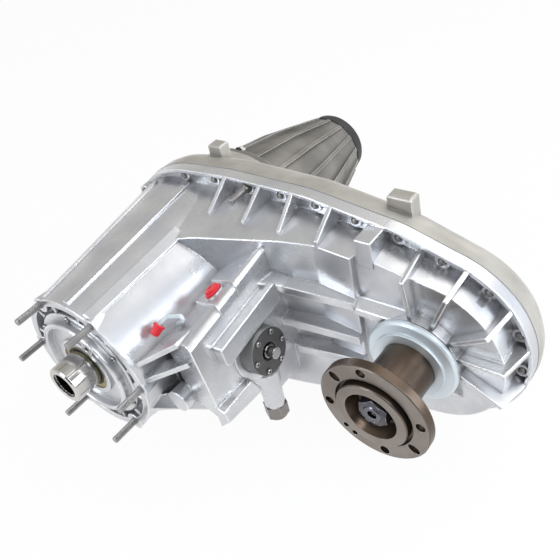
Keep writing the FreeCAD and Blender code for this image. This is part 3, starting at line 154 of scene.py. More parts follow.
def metal(name, light, dark, edge, metallic, rough, corner=0.0012, grain=900.0, depth=0.00006,
          painted_shade=0.5, patch=18.0):
    """A metal finish: patchy tone, rubbed corners with a painted highlight, painted shade in the inner
    corners and a fine skin.
    """
    mat = bpy.data.materials.new(name)
    mat.use_nodes = True
    tree = mat.node_tree
    corners = add(tree, "ShaderNodeGroup", {"Corner Radius": corner}, node_tree=wear_highlight_and_shade).outputs
    skin = add(tree, "ShaderNodeGroup", {"Grain Scale": grain, "Patch Scale": patch},
               node_tree=metal_grain).outputs
    tone = add(tree, "ShaderNodeMix", {"Factor": skin["Patches"], "A": (*dark, 1), "B": (*light, 1)},
               data_type="RGBA")
    # Outer corners take the edge colour, partly rubbed wear and partly a painted highlight.
    wear_and_highlight = add(tree, "ShaderNodeMix", {"Factor": corners["Wear And Highlight"], "A": tone.outputs["Result"],
                                       "B": (*edge, 1)}, data_type="RGBA")
    # Inner corners turn toward a darker, warmer colour: painted shade.
    shade_colour = [part * tint for part, tint in zip(dark, painted_shade_tint)]
    in_shade = add(tree, "ShaderNodeMix", {"Factor": calc(tree, "MULTIPLY", corners["Painted Shade"], painted_shade),
                                        "A": wear_and_highlight.outputs["Result"], "B": (*shade_colour, 1)}, data_type="RGBA")
    gloss = add(tree, "ShaderNodeMapRange", {"Value": skin["Patches"], "To Min": rough + dull_patch,
                                             "To Max": rough - glossy_patch})
    bump = add(tree, "ShaderNodeBump", {"Distance": depth, "Strength": 1.0, "Height": skin["Height"],
                                        "Normal": corners["Round Normal"]})
    surface = tree.nodes["Principled BSDF"].inputs
    surface["Metallic"].default_value = metallic
    feed(tree, surface["Base Color"], in_shade.outputs["Result"])
    feed(tree, surface["Roughness"], gloss.outputs["Result"])
    feed(tree, surface["Normal"], bump.outputs["Normal"])
    return mat


def dress(mat, *names):
    """Gives CAD nodes their finish."""
    for name in names:
        for place in node[name].material_slots:
            place.material = mat


cast_skin = metal("cast_skin", light=(0.70, 0.705, 0.72), dark=(0.56, 0.565, 0.59),
                  edge=(1.0, 1.0, 1.0), metallic=0.85, rough=0.29, corner=0.0024, grain=900,
                  depth=0.0001, painted_shade=0.55, patch=22)
dress(cast_skin, "front_case", "input_retainer")

# Rear case and its dome: the same casting, left a little darker and warmer by oil.
# It is bolted to the front case along the parting line.
warm_skin = metal("warm_skin", light=(0.56, 0.54, 0.50), dark=(0.43, 0.41, 0.375),
                  edge=(0.86, 0.84, 0.80), metallic=0.7, rough=0.40, corner=0.002, grain=1100,
                  depth=0.00006, patch=26, painted_shade=0.6)
dress(warm_skin, "rear_case")

# Extension housing: a ribbed cone, cast in aluminium and left as it came from the die.
# Six bolts hold its flange to the dome of the rear case.
dark_cast = metal("dark_cast", light=(0.27, 0.255, 0.235), dark=(0.17, 0.16, 0.145),
                  edge=(0.58, 0.57, 0.54), metallic=0.55, rough=0.46, corner=0.0016, grain=1000,
                  depth=0.00006)
dress(dark_cast, "extension_housing")

# Shafts, gears, sprockets, chain and bearings: turned or cut from steel, hardened and ground.
# They sit inside the case, and only the ends of the input and of the shift shaft show.
ground_steel = metal("ground_steel", light=(0.60, 0.58, 0.56), dark=(0.46, 0.445, 0.43),
                     edge=(0.88, 0.87, 0.86), metallic=1.0, rough=0.16, corner=0.0008, grain=400,
                     depth=0.00001, painted_shade=0.7)
dress(ground_steel, "input_shaft", "main_shaft", "sector_shaft", "shift_rail")
dress(ground_steel, "sun_gear", "annulus_gear", "planet_carrier", "planet_pins", "planet_gear_1",
      "planet_gear_2", "planet_gear_3", "planet_gear_4", "range_collar", "mode_sleeve")
dress(ground_steel, "drive_sprocket", "driven_sprocket", "drive_chain", "dowels", "input_bearing",
      "front_output_bearing", "front_output_rear_bearing", "main_bearing_rear")


# Output flange: a steel forging, turned on its face, with a groove round the raised inner ring.
# Its holes are drilled through; two of them are slots. A nut holds it on its shaft.
def turned_lines_group():
    """Fine rings left by the tool, round an axis along Y."""
    tree, given = new_group("turned_lines", "ShaderNodeTree",
                            (("Axis X", "NodeSocketFloat", 0.0), ("Line Scale", "NodeSocketFloat", 900.0)),
                            (("Lines", "NodeSocketFloat"),))
    place = add(tree, "ShaderNodeTexCoord").outputs["Object"]
    apart = add(tree, "ShaderNodeSeparateXYZ", {"Vector": place}).outputs
    across = add(tree, "ShaderNodeCombineXYZ", {"X": calc(tree, "SUBTRACT", apart["X"], given["Axis X"]),
                                                "Y": apart["Z"]})
    far = add(tree, "ShaderNodeVectorMath", {0: across.outputs["Vector"]}, operation="LENGTH")
    both = add(tree, "ShaderNodeCombineXYZ", {"X": far.outputs["Value"], "Y": apart["Y"]})
    lines = add(tree, "ShaderNodeTexNoise", {"Vector": both.outputs["Vector"],
                                             "Scale": given["Line Scale"], "Detail": 2.0})
    add(tree, "NodeGroupOutput", {"Lines": lines.outputs["Fac"]})
    return tree


turned_lines = turned_lines_group()


def cut_rings(mat, axis_x, scale, depth):
    """Adds the tool's rings to a metal finish, below its rounded corners."""
    tree = mat.node_tree
    skin = tree.nodes["Bump"].inputs["Normal"]
    rings = add(tree, "ShaderNodeGroup", {"Axis X": axis_x, "Line Scale": scale}, node_tree=turned_lines)
    under = add(tree, "ShaderNodeBump", {"Distance": depth, "Height": rings.outputs["Lines"],
                                         "Normal": skin.links[0].from_socket})
    feed(tree, skin, under.outputs["Normal"])


def facing_group():
    """How far a surface faces along an axis of the object: 1 on a flat end, 0 on a round side."""
    tree, given = new_group("facing", "ShaderNodeTree", (("Axis", "NodeSocketVector", (0, 1, 0)),),
                            (("Facing", "NodeSocketFloat"),))
    normal = add(tree, "ShaderNodeTexCoord").outputs["Normal"]
    either_way = calc(tree, "ABSOLUTE", alike(tree, normal, given["Axis"]))
    add(tree, "NodeGroupOutput", {"Facing": stretched(tree, either_way, low=0.6, high=0.9)})
    return tree


facing = facing_group()


def two_tone(mat, axis, side):
    """Tints the sides of a turned piece and leaves the finish of its flat ends."""
    tree = mat.node_tree
    base = tree.nodes["Principled BSDF"].inputs["Base Color"]
    ends = add(tree, "ShaderNodeGroup", {"Axis": axis}, node_tree=facing)
    tint = add(tree, "ShaderNodeMix", {"Factor": ends.outputs["Facing"], "A": (*side, 1),
                                       "B": base.links[0].from_socket}, data_type="RGBA")
    feed(tree, base, tint.outputs["Result"])


smooth_below = math.radians(40)
point_apart = 1e-6
same_place = 1e-7


def put(name, data):
    """An object in the scene for a mesh, a camera or a lamp."""
    o = bpy.data.objects.new(name, data)
    scene.collection.objects.link(o)
    return o


def piece(name, bm, mat):
    """An object from a bmesh, with its faces outward and its round sides smooth."""
    bmesh.ops.remove_doubles(bm, verts=bm.verts, dist=point_apart)
    bmesh.ops.recalc_face_normals(bm, faces=bm.faces)
    mesh = bpy.data.meshes.new(name)
    bm.to_mesh(mesh)
    bm.free()
    mesh.materials.append(mat)
    mesh.shade_smooth()
    mesh.set_sharp_from_angle(angle=smooth_below)
    return put(name, mesh)


def skin_round(bm, rows, closed=True):
    """Faces between rows of points that go round, left out where the points fall together."""
    for row, after in zip(rows, rows[1:] + rows[:1]):
        steps = list(zip(row, after))
        for (a, b), (c, d) in zip(steps, steps[1:] + steps[:1] if closed else steps[1:]):
            corners = []
            for v in (a, c, d, b):
                if all((v.co - found.co).length > same_place for found in corners):
                    corners.append(v)
            if len(corners) > 2:
                bm.faces.new(corners)


def lathe(bm, profile, x=0.0, z=0.0, steps=96):
    """Turns a closed outline of (radius, y), in millimetres, round an axis along Y."""
    rows = []
    for i in range(steps):
        a = 2 * math.pi * i / steps
        rows.append([bm.verts.new(((x + r * math.cos(a)) / 1000, y / 1000, (z + r * math.sin(a)) / 1000))
                     for r, y in profile])
    skin_round(bm, rows)


def rod(bm, outline, x, z, y0, y1):
    """A straight prism along Y from an outline in the plane across it, in millimetres."""
    near = [bm.verts.new(((x + a) / 1000, y0 / 1000, (z + b) / 1000)) for a, b in outline]
    end = [bm.verts.new(((x + a) / 1000, y1 / 1000, (z + b) / 1000)) for a, b in outline]
    bm.faces.new(near)
    bm.faces.new(end[::-1])
    for i in range(len(outline)):
        j = (i + 1) % len(outline)
        bm.faces.new((near[j], near[i], end[i], end[j]))


def drilled(o, cutter):
    """Takes a cutter's volume from a piece and leaves a plain mesh."""
    cut = o.modifiers.new("cut", "BOOLEAN")
    cut.operation = "DIFFERENCE"
    cut.solver = "EXACT"
    cut.object = cutter
    graph = bpy.context.evaluated_depsgraph_get()
    plain = bpy.data.meshes.new_from_object(o.evaluated_get(graph))
    o.modifiers.clear()
    o.data = plain
    plain.shade_smooth()
    plain.set_sharp_from_angle(angle=smooth_below)
    bpy.data.objects.remove(cutter)


def polar(r, deg, x=0.0):
    """A place (x, z) at a radius and an angle in degrees round an axis along Y."""
    return x + r * math.cos(math.radians(deg)), r * math.sin(math.radians(deg))


def oval(long_r, short_r, turn, steps=28):
    """An oval outline with its long side turned by an angle."""
    c, s = math.cos(turn), math.sin(turn)
    outline = []
    for i in range(steps):
        a, b = long_r * math.cos(2 * math.pi * i / steps), short_r * math.sin(2 * math.pi * i / steps)
        outline.append((a * c - b * s, a * s + b * c))
    return outline


shaft_centres = 310.0
flange_r = 57.5
flange_front = 82.0
flange_back = 93.0
groove_in = 37.5
groove_out = 40.5
groove_floor = 87.0
inner_ring_out = 5.0
inner_ring = flange_front - inner_ring_out
nut_floor = 96.0
recess_r = 23.6
bore_r = 10.3
hub_r = 28.0
hub_end = 169.5
hub_bore_r = 17.1
floor_thick = 4.0
rounding = 1.2
fine_edge = 0.6
hole_r = 5.0
hole_ring_r = 49.3
slot_long = 6.6
slot_short = 4.6
slot_ring_r = 48.6
small_hole_r = 3.0
small_ring_r = 49.0
past_face = 2
flange_steel = metal("flange_steel", light=(0.29, 0.255, 0.23), dark=(0.21, 0.18, 0.16),
                     edge=(0.62, 0.58, 0.53), metallic=0.9, rough=0.33, corner=0.0008, grain=700,
                     depth=0.00002, painted_shade=0.9)
two_tone(flange_steel, axis=(0, 1, 0), side=(0.10, 0.073, 0.055))
cut_rings(flange_steel, shaft_centres / 1000, scale=2600, depth=0.00003)
bm = bmesh.new()
lathe(bm, [(bore_r, nut_floor), (recess_r, nut_floor), (recess_r + rounding, nut_floor - rounding),
           (recess_r + 3.0, inner_ring + rounding), (recess_r + 3.8, inner_ring),
           (groove_in - rounding, inner_ring), (groove_in, inner_ring + rounding),
           (groove_in, groove_floor), (groove_out, groove_floor), (groove_out, flange_front + fine_edge),
           (groove_out + fine_edge, flange_front), (flange_r - 1, flange_front),
           (flange_r, flange_front + 1), (flange_r, flange_back - 1), (flange_r - 1, flange_back),
           (hub_r + 6, flange_back), (hub_r + 2.5, flange_back + 1.5), (hub_r + 0.4, flange_back + 5),
           (hub_r, flange_back + 8), (hub_r, hub_end), (hub_bore_r, hub_end),
           (hub_bore_r, nut_floor + floor_thick), (bore_r, nut_floor + floor_thick)],
      x=shaft_centres, steps=128)
flange = piece("flange", bm, flange_steel)
holes = [(deg, hole_ring_r, oval(hole_r, hole_r, 0)) for deg in (8.0, 98.0, 188.0, 278.0)]
holes += [(deg, slot_ring_r, oval(slot_long, slot_short, math.radians(deg))) for deg in (140.0, -35.5)]
holes += [(deg, small_ring_r, oval(small_hole_r, small_hole_r, 0)) for deg in (-134.6, -121.4)]
cutters = bmesh.new()
for deg, ring_r, outline in holes:
    rod(cutters, outline, *polar(ring_r, deg, shaft_centres), flange_front - past_face,
        flange_back + past_face)
drilled(flange, piece("holes", cutters, flange_steel))
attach(flange, "front_output")
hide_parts("output_flange")


# Nut of the flange: a steel hexagon with rounded corners on a round collar, blackened.
# It is tightened on the shaft's nose against the flange's floor.
def hexagon(bm, across, x, z, y0, y1, chamfer, bore=0.0, steps=48):
    """A hexagon along Y with the corners of its y0 end rounded off and an optional bore."""
    flat = across / 2
    corner_fall = 0.35
    end_inset = 0.3
    spots = []
    for i in range(steps):
        a = 2 * math.pi * i / steps
        side = (a + math.pi / 6) % (math.pi / 3) - math.pi / 6
        spots.append((math.cos(a), math.sin(a), flat / math.cos(side)))

    def ring(y, reach=across, fall=0.0):
        """Points round the hexagon at y, none past a reach, lower where the corners stand out."""
        return [bm.verts.new(((x + min(r, reach) * c) / 1000, (y + fall * max(0.0, r - flat)) / 1000,
                              (z + min(r, reach) * s) / 1000)) for c, s, r in spots]

    rings = [ring(y1), ring(y0 + chamfer, fall=corner_fall), ring(y0, flat - end_inset)]
    if bore:
        rings += [ring(y0, bore), ring(y1, bore), rings[0]]
    else:
        bm.faces.new(rings[0])
        bm.faces.new(rings[-1])
    for a, b in zip(rings, rings[1:]):
        for i in range(steps):
            bm.faces.new((a[i], a[(i + 1) % steps], b[(i + 1) % steps], b[i]))


nut_steel = metal("nut_steel", light=(0.13, 0.125, 0.14), dark=(0.06, 0.055, 0.07),
                  edge=(0.55, 0.55, 0.60), metallic=0.9, rough=0.30, corner=0.0008, grain=900,
                  depth=0.00002, painted_shade=0.9)
nut_af = 29.0
nut_front = 80.5
nut_bore_r = 10.1
collar_r = 19.0
bm = bmesh.new()
hexagon(bm, nut_af, shaft_centres, 0, nut_front, nut_floor - 2, chamfer=0.6, bore=nut_bore_r)
lathe(bm, [(nut_bore_r, nut_floor - 2.2), (collar_r - 0.5, nut_floor - 2.2), (collar_r, nut_floor - 1.6),
           (collar_r, nut_floor - 0.05), (nut_bore_r, nut_floor - 0.05)],
      x=shaft_centres, steps=64)
nut = piece("flange_nut_detail", bm, nut_steel)
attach(nut, "front_output")
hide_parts("flange_nut")

# Front output shaft: ground steel with a threaded nose that ends in a centre hole.
# It turns in two bearings, and the flange and the lower sprocket are pressed on it.
shaft_steel = metal("shaft_steel", light=(0.17, 0.17, 0.19), dark=(0.10, 0.10, 0.12),
                    edge=(0.55, 0.55, 0.60), metallic=1.0, rough=0.25, corner=0.0006, grain=500,
                    depth=0.00001, painted_shade=0.9)
cut_rings(shaft_steel, shaft_centres / 1000, scale=2400, depth=0.00002)
nose_end = 79.4
nose_r = 9.9
nose_foot = 100.0
spline_r = 17.0
journal_r = 20.0
journal_y = 169.7
rear_journal_r = 15.0
rear_journal_y = 226.0
shaft_end = 247.7
centre_hole = [(0, 82), (1.2, 81.6), (2.4, 83.6), (4.4, 83.4), (4.8, 79.8), (5.4, nose_end)]
bm = bmesh.new()
lathe(bm, centre_hole + [(nose_r - 1.3, nose_end), (nose_r, nose_end + 1.3), (nose_r, nose_foot),
                         (spline_r, nose_foot), (spline_r, journal_y), (journal_r, journal_y),
                         (journal_r, rear_journal_y), (rear_journal_r, rear_journal_y),
                         (rear_journal_r, shaft_end), (0, shaft_end)],
      x=shaft_centres, steps=72)
front_shaft = piece("front_shaft_detail", bm, shaft_steel)
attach(front_shaft, "front_output")
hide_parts("front_output_shaft")


# Studs of the front face, for the transmission: steel, phosphated, with rolled threads.
# The six are screwed into the case, each with a plain foot and its rounded tip outward.
def copies_out(tree, given, unit, rotation):
    """Puts a unit on each point, makes the copies real and gives them their finish."""
    copies = add(tree, "GeometryNodeInstanceOnPoints",
                 {"Points": given["Geometry"], "Instance": unit, "Rotation": rotation})
    real = add(tree, "GeometryNodeRealizeInstances", {"Geometry": copies.outputs["Instances"]})
    finish = add(tree, "GeometryNodeSetMaterial",
                 {"Geometry": real.outputs["Geometry"], "Material": given["Finish"]})
    add(tree, "NodeGroupOutput", {"Geometry": finish.outputs["Geometry"]})


def rods_tree():
    """Threaded rods at the points of a mesh, with their middle at each point."""
    tree, given = new_group("threaded_rods", "GeometryNodeTree",
                            (("Geometry", "NodeSocketGeometry", None),
                             ("Radius", "NodeSocketFloat", 0.004), ("Length", "NodeSocketFloat", 0.03),
                             ("Pitch", "NodeSocketFloat", 0.00125), ("Depth", "NodeSocketFloat", 0.0006),
                             ("Finish", "NodeSocketMaterial", None)),
                            (("Geometry", "NodeSocketGeometry"),))
    sides, rows_in_turn, tip_round, whole_turns = 20, 6.0, 1.4, 200.0
    turns = calc(tree, "DIVIDE", given["Length"], given["Pitch"])
    bar = add(tree, "GeometryNodeMeshCylinder",
              {"Vertices": sides, "Side Segments": calc(tree, "MULTIPLY", turns, rows_in_turn),
               "Radius": given["Radius"], "Depth": given["Length"]})
    place = add(tree, "GeometryNodeInputPosition").outputs["Position"]
    apart = add(tree, "ShaderNodeSeparateXYZ", {"Vector": place}).outputs
    turn = calc(tree, "DIVIDE", calc(tree, "ARCTAN2", apart["Y"], apart["X"]), 2 * math.pi)
    along = calc(tree, "ADD", calc(tree, "DIVIDE", apart["Z"], given["Pitch"]), whole_turns)
    phase = calc(tree, "FRACT", calc(tree, "SUBTRACT", along, turn))
    hill = calc(tree, "ABSOLUTE", calc(tree, "SUBTRACT", phase, 0.5))
    low = calc(tree, "MULTIPLY", calc(tree, "MULTIPLY", hill, 2.0), given["Depth"])
    half = calc(tree, "DIVIDE", given["Length"], 2.0)
    to_end = calc(tree, "SUBTRACT", half, calc(tree, "ABSOLUTE", apart["Z"]))
    tip = calc(tree, "SUBTRACT", calc(tree, "MULTIPLY", given["Depth"], tip_round), to_end)
    deepest = calc(tree, "MAXIMUM", low, calc(tree, "MAXIMUM", tip, 0.0))
    keep = calc(tree, "SUBTRACT", 1.0, calc(tree, "DIVIDE", deepest, given["Radius"]))
    moved = add(tree, "ShaderNodeCombineXYZ", {"X": calc(tree, "MULTIPLY", apart["X"], keep),
                                               "Y": calc(tree, "MULTIPLY", apart["Y"], keep),
                                               "Z": apart["Z"]})
    move = add(tree, "GeometryNodeSetPosition", {"Geometry": bar.outputs["Mesh"],
                                                 "Position": moved.outputs["Vector"]})
    along_y = add(tree, "FunctionNodeEulerToRotation", {"Euler": (math.pi / 2, 0, 0)})
    copies_out(tree, given, move.outputs["Geometry"], along_y.outputs["Rotation"])
    return tree


fine_smooth_below = math.radians(38)


def grown(name, points, tree, mat, turns=None, **sizes):
    """A plain mesh from a tree that works on points, given in millimetres."""
    mesh = bpy.data.meshes.new(name)
    mesh.from_pydata([(x / 1000, y / 1000, z / 1000) for x, y, z in points], [], [])
    if turns:
        turn = mesh.attributes.new("turn", "FLOAT_VECTOR", "POINT")
        for i, angles in enumerate(turns):
            turn.data[i].vector = angles
    o = put(name, mesh)
    grow = o.modifiers.new("grow", "NODES")
    grow.node_group = tree
    sizes["Finish"] = mat
    for item in tree.interface.items_tree:
        if item.in_out == "INPUT" and item.name in sizes:
            grow[item.identifier] = sizes[item.name]
    graph = bpy.context.evaluated_depsgraph_get()
    plain = bpy.data.meshes.new_from_object(o.evaluated_get(graph))
    o.modifiers.clear()
    o.data = plain
    plain.shade_smooth()
    plain.set_sharp_from_angle(angle=fine_smooth_below)
    return o


def joined(name, mat, *objects):
    """One object of several plain ones, in one finish."""
    bm = bmesh.new()
    for o in objects:
        bm.from_mesh(o.data)
    mesh = bpy.data.meshes.new(name)
    bm.to_mesh(mesh)
    bm.free()
    mesh.materials.append(mat)
    mesh.polygons.foreach_set("material_index", [0] * len(mesh.polygons))
    for o in objects:
        bpy.data.objects.remove(o)
    mesh.shade_smooth()
    mesh.set_sharp_from_angle(angle=fine_smooth_below)
    return put(name, mesh)


def in_ring(r, count, first=0.0):
    """Places (x, z) round the main axis, the first of them at an angle in degrees."""
    angles = [math.radians(first) + 2 * math.pi * i / count for i in range(count)]
    return [(r * math.cos(a), r * math.sin(a)) for a in angles]


stud_steel = metal("stud_steel", light=(0.40, 0.385, 0.38), dark=(0.27, 0.255, 0.25),
                   edge=(0.75, 0.74, 0.73), metallic=0.9, rough=0.30, corner=0.0004, grain=1500,
                   depth=0.00002, painted_shade=0.7)
rods = rods_tree()
stud_r = 4.0
stud_out = 32.0
stud_foot_r = 4.4
stud_foot_deep = 13.8
foot_out = 0.5
stud_ring_r = 82.5
stud_places = in_ring(stud_ring_r, 6)
outer = grown("stud_threads", [(x, (foot_out - stud_out) / 2, z) for x, z in stud_places], rods,
              stud_steel, Radius=stud_r / 1000, Length=(stud_out - foot_out) / 1000)
bm = bmesh.new()
for x, z in stud_places:
    lathe(bm, [(0, -foot_out), (stud_r, -foot_out), (stud_foot_r, 0.2), (stud_foot_r, stud_foot_deep),
               (0, stud_foot_deep)], x, z, steps=20)
studs = joined("studs", stud_steel, outer, piece("stud_roots", bm, stud_steel))
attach(studs, "case")
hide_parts("transmission_studs")

# Deflector behind the flange, breather tube and the pump's pickup: zinc plated steel.
# The deflector is pressed from sheet and sits on the flange's hub. The tubes are bent.
zinc = metal("zinc", light=(0.74, 0.80, 0.84), dark=(0.66, 0.72, 0.76), edge=(0.92, 0.96, 0.99),
             metallic=0.65, rough=0.38, corner=0.0012, grain=600, depth=0.00001)
dress(zinc, "deflector", "vent_tube", "pump_pickup")

# Fill plug: a dark phosphated steel plug, screwed into the wall of the case.
# Oil is filled in through its hole.
dark_bolt = metal("dark_bolt", light=(0.30, 0.28, 0.265), dark=(0.20, 0.185, 0.175),
                  edge=(0.62, 0.60, 0.57), metallic=0.85, rough=0.36, corner=0.0005, grain=1500,
                  depth=0.00002)
dress(dark_bolt, "fill_plug")

# Shift retainer: a turned steel cover with a dark face and lighter sides.
# Six screws hold it to the slanted face of the shift box, and the shift shaft turns in it.
retainer_steel = metal("retainer_steel", light=(0.115, 0.11, 0.11), dark=(0.08, 0.075, 0.075),
                       edge=(0.45, 0.44, 0.43), metallic=0.6, rough=0.42, corner=0.0009, grain=900,
                       depth=0.00003, painted_shade=0.8)
cover_axis = (0.99, 0, 0.139)
two_tone(retainer_steel, axis=cover_axis, side=(0.27, 0.27, 0.265))
dress(retainer_steel, "shift_retainer")

# Shift forks and oil pump: small aluminium castings with the rear case's skin.
# The forks slide on a steel rail, and the pump sits round the main shaft. Neither shows.
dress(warm_skin, "range_fork", "mode_fork", "oil_pump")

# Seal of the front output, filter and magnet of the sump: moulded black, pressed or clipped in.
# The seal's lip runs on the flange's hub behind the deflector.
rubber = metal("rubber", light=(0.03, 0.03, 0.03), dark=(0.02, 0.02, 0.02), edge=(0.06, 0.06, 0.06),
               metallic=0.0, rough=0.55, corner=0.0006, grain=1500, depth=0.00003, painted_shade=0.2)
dress(rubber, "front_output_seal", "pickup_filter", "magnet")

# Bushing of the tail: a bronze sleeve, rolled and pressed into the extension's end.
# The yoke of the rear drive shaft slides and turns in it.
bronze = metal("bronze", light=(0.5, 0.36, 0.16), dark=(0.4, 0.28, 0.12), edge=(0.7, 0.55, 0.3),
               metallic=1.0, rough=0.3)
dress(bronze, "tail_bushing")


# Bolts round the rim: steel, phosphated dark, screwed through both halves of the case.
# They go in from behind, and their rounded ends stand out of raised seats in front.
def repeats_tree():
    """Copies of an object at the points of a mesh, each turned by its own angles."""
    tree, given = new_group("repeats", "GeometryNodeTree",
                            (("Geometry", "NodeSocketGeometry", None), ("Unit", "NodeSocketObject", None),
                             ("Finish", "NodeSocketMaterial", None)),
                            (("Geometry", "NodeSocketGeometry"),))
    unit = add(tree, "GeometryNodeObjectInfo", {"Object": given["Unit"]})
    turn = add(tree, "GeometryNodeInputNamedAttribute", {"Name": "turn"}, data_type="FLOAT_VECTOR")
    rotation = add(tree, "FunctionNodeEulerToRotation", {"Euler": turn.outputs["Attribute"]})
    copies_out(tree, given, unit.outputs["Geometry"], rotation.outputs["Rotation"])
    return tree


repeats = repeats_tree()


def repeated(name, unit, points, mat, turns):
    """A plain mesh of a unit piece copied to points, in millimetres."""
    o = grown(name, points, repeats, mat, turns, Unit=unit)
    bpy.data.objects.remove(unit)
    return o


rim_x = (0.0, 21.0, 75.0, 165.0, 250.0, shaft_centres)
rim_r = (118.49, 131.5, 135.5, 134.0, 121.0, 101.7)
bolt_inset = 9.5
bolt_seat_y = 202.0
upper_bolt_x = (5.0, 52.0, 101.0, 144.0, 187.0, 233.0, 280.0, 324.0)
stud_in_row = 2
output_end_deg = (50.0, 18.0, -10.0, -40.0)
barrel_end_deg = (133.0, 163.0, 193.0, 223.0)
barrel_end_r = 112.0
end_turn = 0.7


def rim_z(x, inset, steps=360):
    """Height of the rim's edge at x, an outline round circles strung along X."""
    heights = []
    for step in range(1, steps):
        a = math.pi * step / steps
        reach = max(cx * math.cos(a) + r - inset for cx, r in zip(rim_x, rim_r))
        heights.append((reach - x * math.cos(a)) / math.sin(a))
    return min(heights)


rim_bolts = [(x, rim_z(x, bolt_inset)) for x in upper_bolt_x]
long_stud_at = rim_bolts.pop(stud_in_row)
rim_bolts += [polar(rim_r[-1] - bolt_inset, deg, shaft_centres) for deg in output_end_deg]
rim_bolts += [(x, -rim_z(x, bolt_inset)) for x in upper_bolt_x]
rim_bolts += [polar(barrel_end_r, deg) for deg in barrel_end_deg]
bm = bmesh.new()
lathe(bm, [(0, -2.7), (1.9, -2.6), (3.3, -1.9), (4.1, -0.6), (4.2, -0.02), (4.0, 0.0), (4.0, 16), (0, 16)],
      steps=24)
unit = piece("unit", bm, dark_bolt)
front_ends = repeated("front_ends", unit, [(x, bolt_seat_y, z) for x, z in rim_bolts], dark_bolt,
                      [(0, end_turn * i, 0) for i in range(len(rim_bolts))])
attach(front_ends, "case")
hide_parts("case_bolts")

# Long stud above the shift box, in the place of one rim bolt: steel, phosphated, threaded.
# A hexagon collar holds it against its seat, and a bracket is bolted to its free end.
long_stud_front = 171.0
long_stud_len = 52.5
collar_af = 10.0
outer = grown("long_stud", [(long_stud_at[0], long_stud_front + long_stud_len / 2, long_stud_at[1])],
              rods, stud_steel, Radius=stud_r / 1000, Length=long_stud_len / 1000)
bm = bmesh.new()
hexagon(bm, collar_af, *long_stud_at, bolt_seat_y - 7, bolt_seat_y - 0.05, chamfer=0.9)
long_stud = joined("bracket_stud_detail", stud_steel, outer, piece("stud_collar", bm, stud_steel))
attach(long_stud, "case")
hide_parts("bracket_stud")

# Bolts of the extension housing: zinc plated steel, a little dulled, with hexagon heads.
# Each is tightened from behind on a plain washer.
zinc_bolt = metal("zinc_bolt", light=(0.50, 0.50, 0.49), dark=(0.36, 0.36, 0.36),
                  edge=(0.86, 0.86, 0.85), metallic=0.95, rough=0.30, corner=0.0004, grain=1500,
                  depth=0.00002, painted_shade=0.8)
tail_flange_y = 301.0
tail_bolt_count = 6
tail_ring_r = 93.5
tail_bolt_af = 12.0
tail_bolt_r = 4
tail_head_h = 6.0
head_turn = 1.1
washer_r = 7.5
washer_h = 1.4
bm = bmesh.new()
hexagon(bm, tail_bolt_af, 0, 0, 0, tail_head_h, chamfer=0.01)
lathe(bm, [(0, -25), (tail_bolt_r, -25), (tail_bolt_r, -0.05), (washer_r, -0.05), (washer_r, washer_h),
           (0, washer_h)], steps=28)
unit = piece("unit", bm, zinc_bolt)
tail_bolts = repeated("extension_bolt_heads", unit,
                      [(x, tail_flange_y, z) for x, z in in_ring(tail_ring_r, tail_bolt_count, 30)],
                      zinc_bolt, [(0, head_turn * i, 0) for i in range(tail_bolt_count)])
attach(tail_bolts, "case")
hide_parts("extension_bolts")


# Screws of the input retainer: zinc plated steel, with low round heads and a round socket.
# Six of them clamp the retainer's flange to the front face.
def socket_screw(bm, head_r, head_h, shank_r, shank):
    """A round head that stands out toward -Y from y 0, with a socket, and its shank behind."""
    lathe(bm, [(0, -head_h + 1.5), (1.4, -head_h + 1.5), (1.7, -head_h), (head_r - 0.7, -head_h),
               (head_r, -head_h + 0.7), (head_r, -0.03), (shank_r, -0.03), (shank_r, shank), (0, shank)],
          steps=24)


retainer_seat_y = 1.0
retainer_ring_r = 65.15
screw_count = 6
bm = bmesh.new()
socket_screw(bm, head_r=3.6, head_h=2.4, shank_r=2.0, shank=14.8)
unit = piece("unit", bm, zinc_bolt)
screws = repeated("retainer_screws", unit,
                  [(x, retainer_seat_y, z) for x, z in in_ring(retainer_ring_r, screw_count, 30)],
                  zinc_bolt, [(0, 0, 0)] * screw_count)
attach(screws, "case")
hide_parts("retainer_bolts")

# Screws of the shift retainer: the same kind, one size smaller.
# They go into the slanted face of the shift box, round the shift shaft.
box_tilt = math.radians(8.0)
shift_face_x = 180.3
sector_y = 97.0
sector_z = -15.0
shift_ring_r = 21.0
bm = bmesh.new()
socket_screw(bm, head_r=3.0, head_h=2.0, shank_r=1.8, shank=24.0)
unit = piece("unit", bm, zinc_bolt)
places = []
for i in range(screw_count):
    a = 2 * math.pi * i / screw_count
    y, z = sector_y + shift_ring_r * math.cos(a), sector_z + shift_ring_r * math.sin(a)
    places.append((shift_face_x * math.cos(box_tilt) - z * math.sin(box_tilt), y,
                   shift_face_x * math.sin(box_tilt) + z * math.cos(box_tilt)))
screws = repeated("shift_screws", unit, places, zinc_bolt, [(0, -box_tilt, math.pi / 2)] * screw_count)
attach(screws, "case")
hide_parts("shift_retainer_screws")


# Bead of grey sealant along the parting line: it was spread on the joint as a paste,
# squeezed out a little when the two halves were bolted together, and set to a rubber.
def rim_outline(grow, steps=220):
    """Points (x, z) round the rim, the outline round its circles."""
    points = []
    for i in range(steps):
        a = 2 * math.pi * i / steps
        _, cx, r = max((cx * math.cos(a) + r, cx, r) for cx, r in zip(rim_x, rim_r))
        points.append((cx + (r + grow) * math.cos(a), (r + grow) * math.sin(a)))
    return points


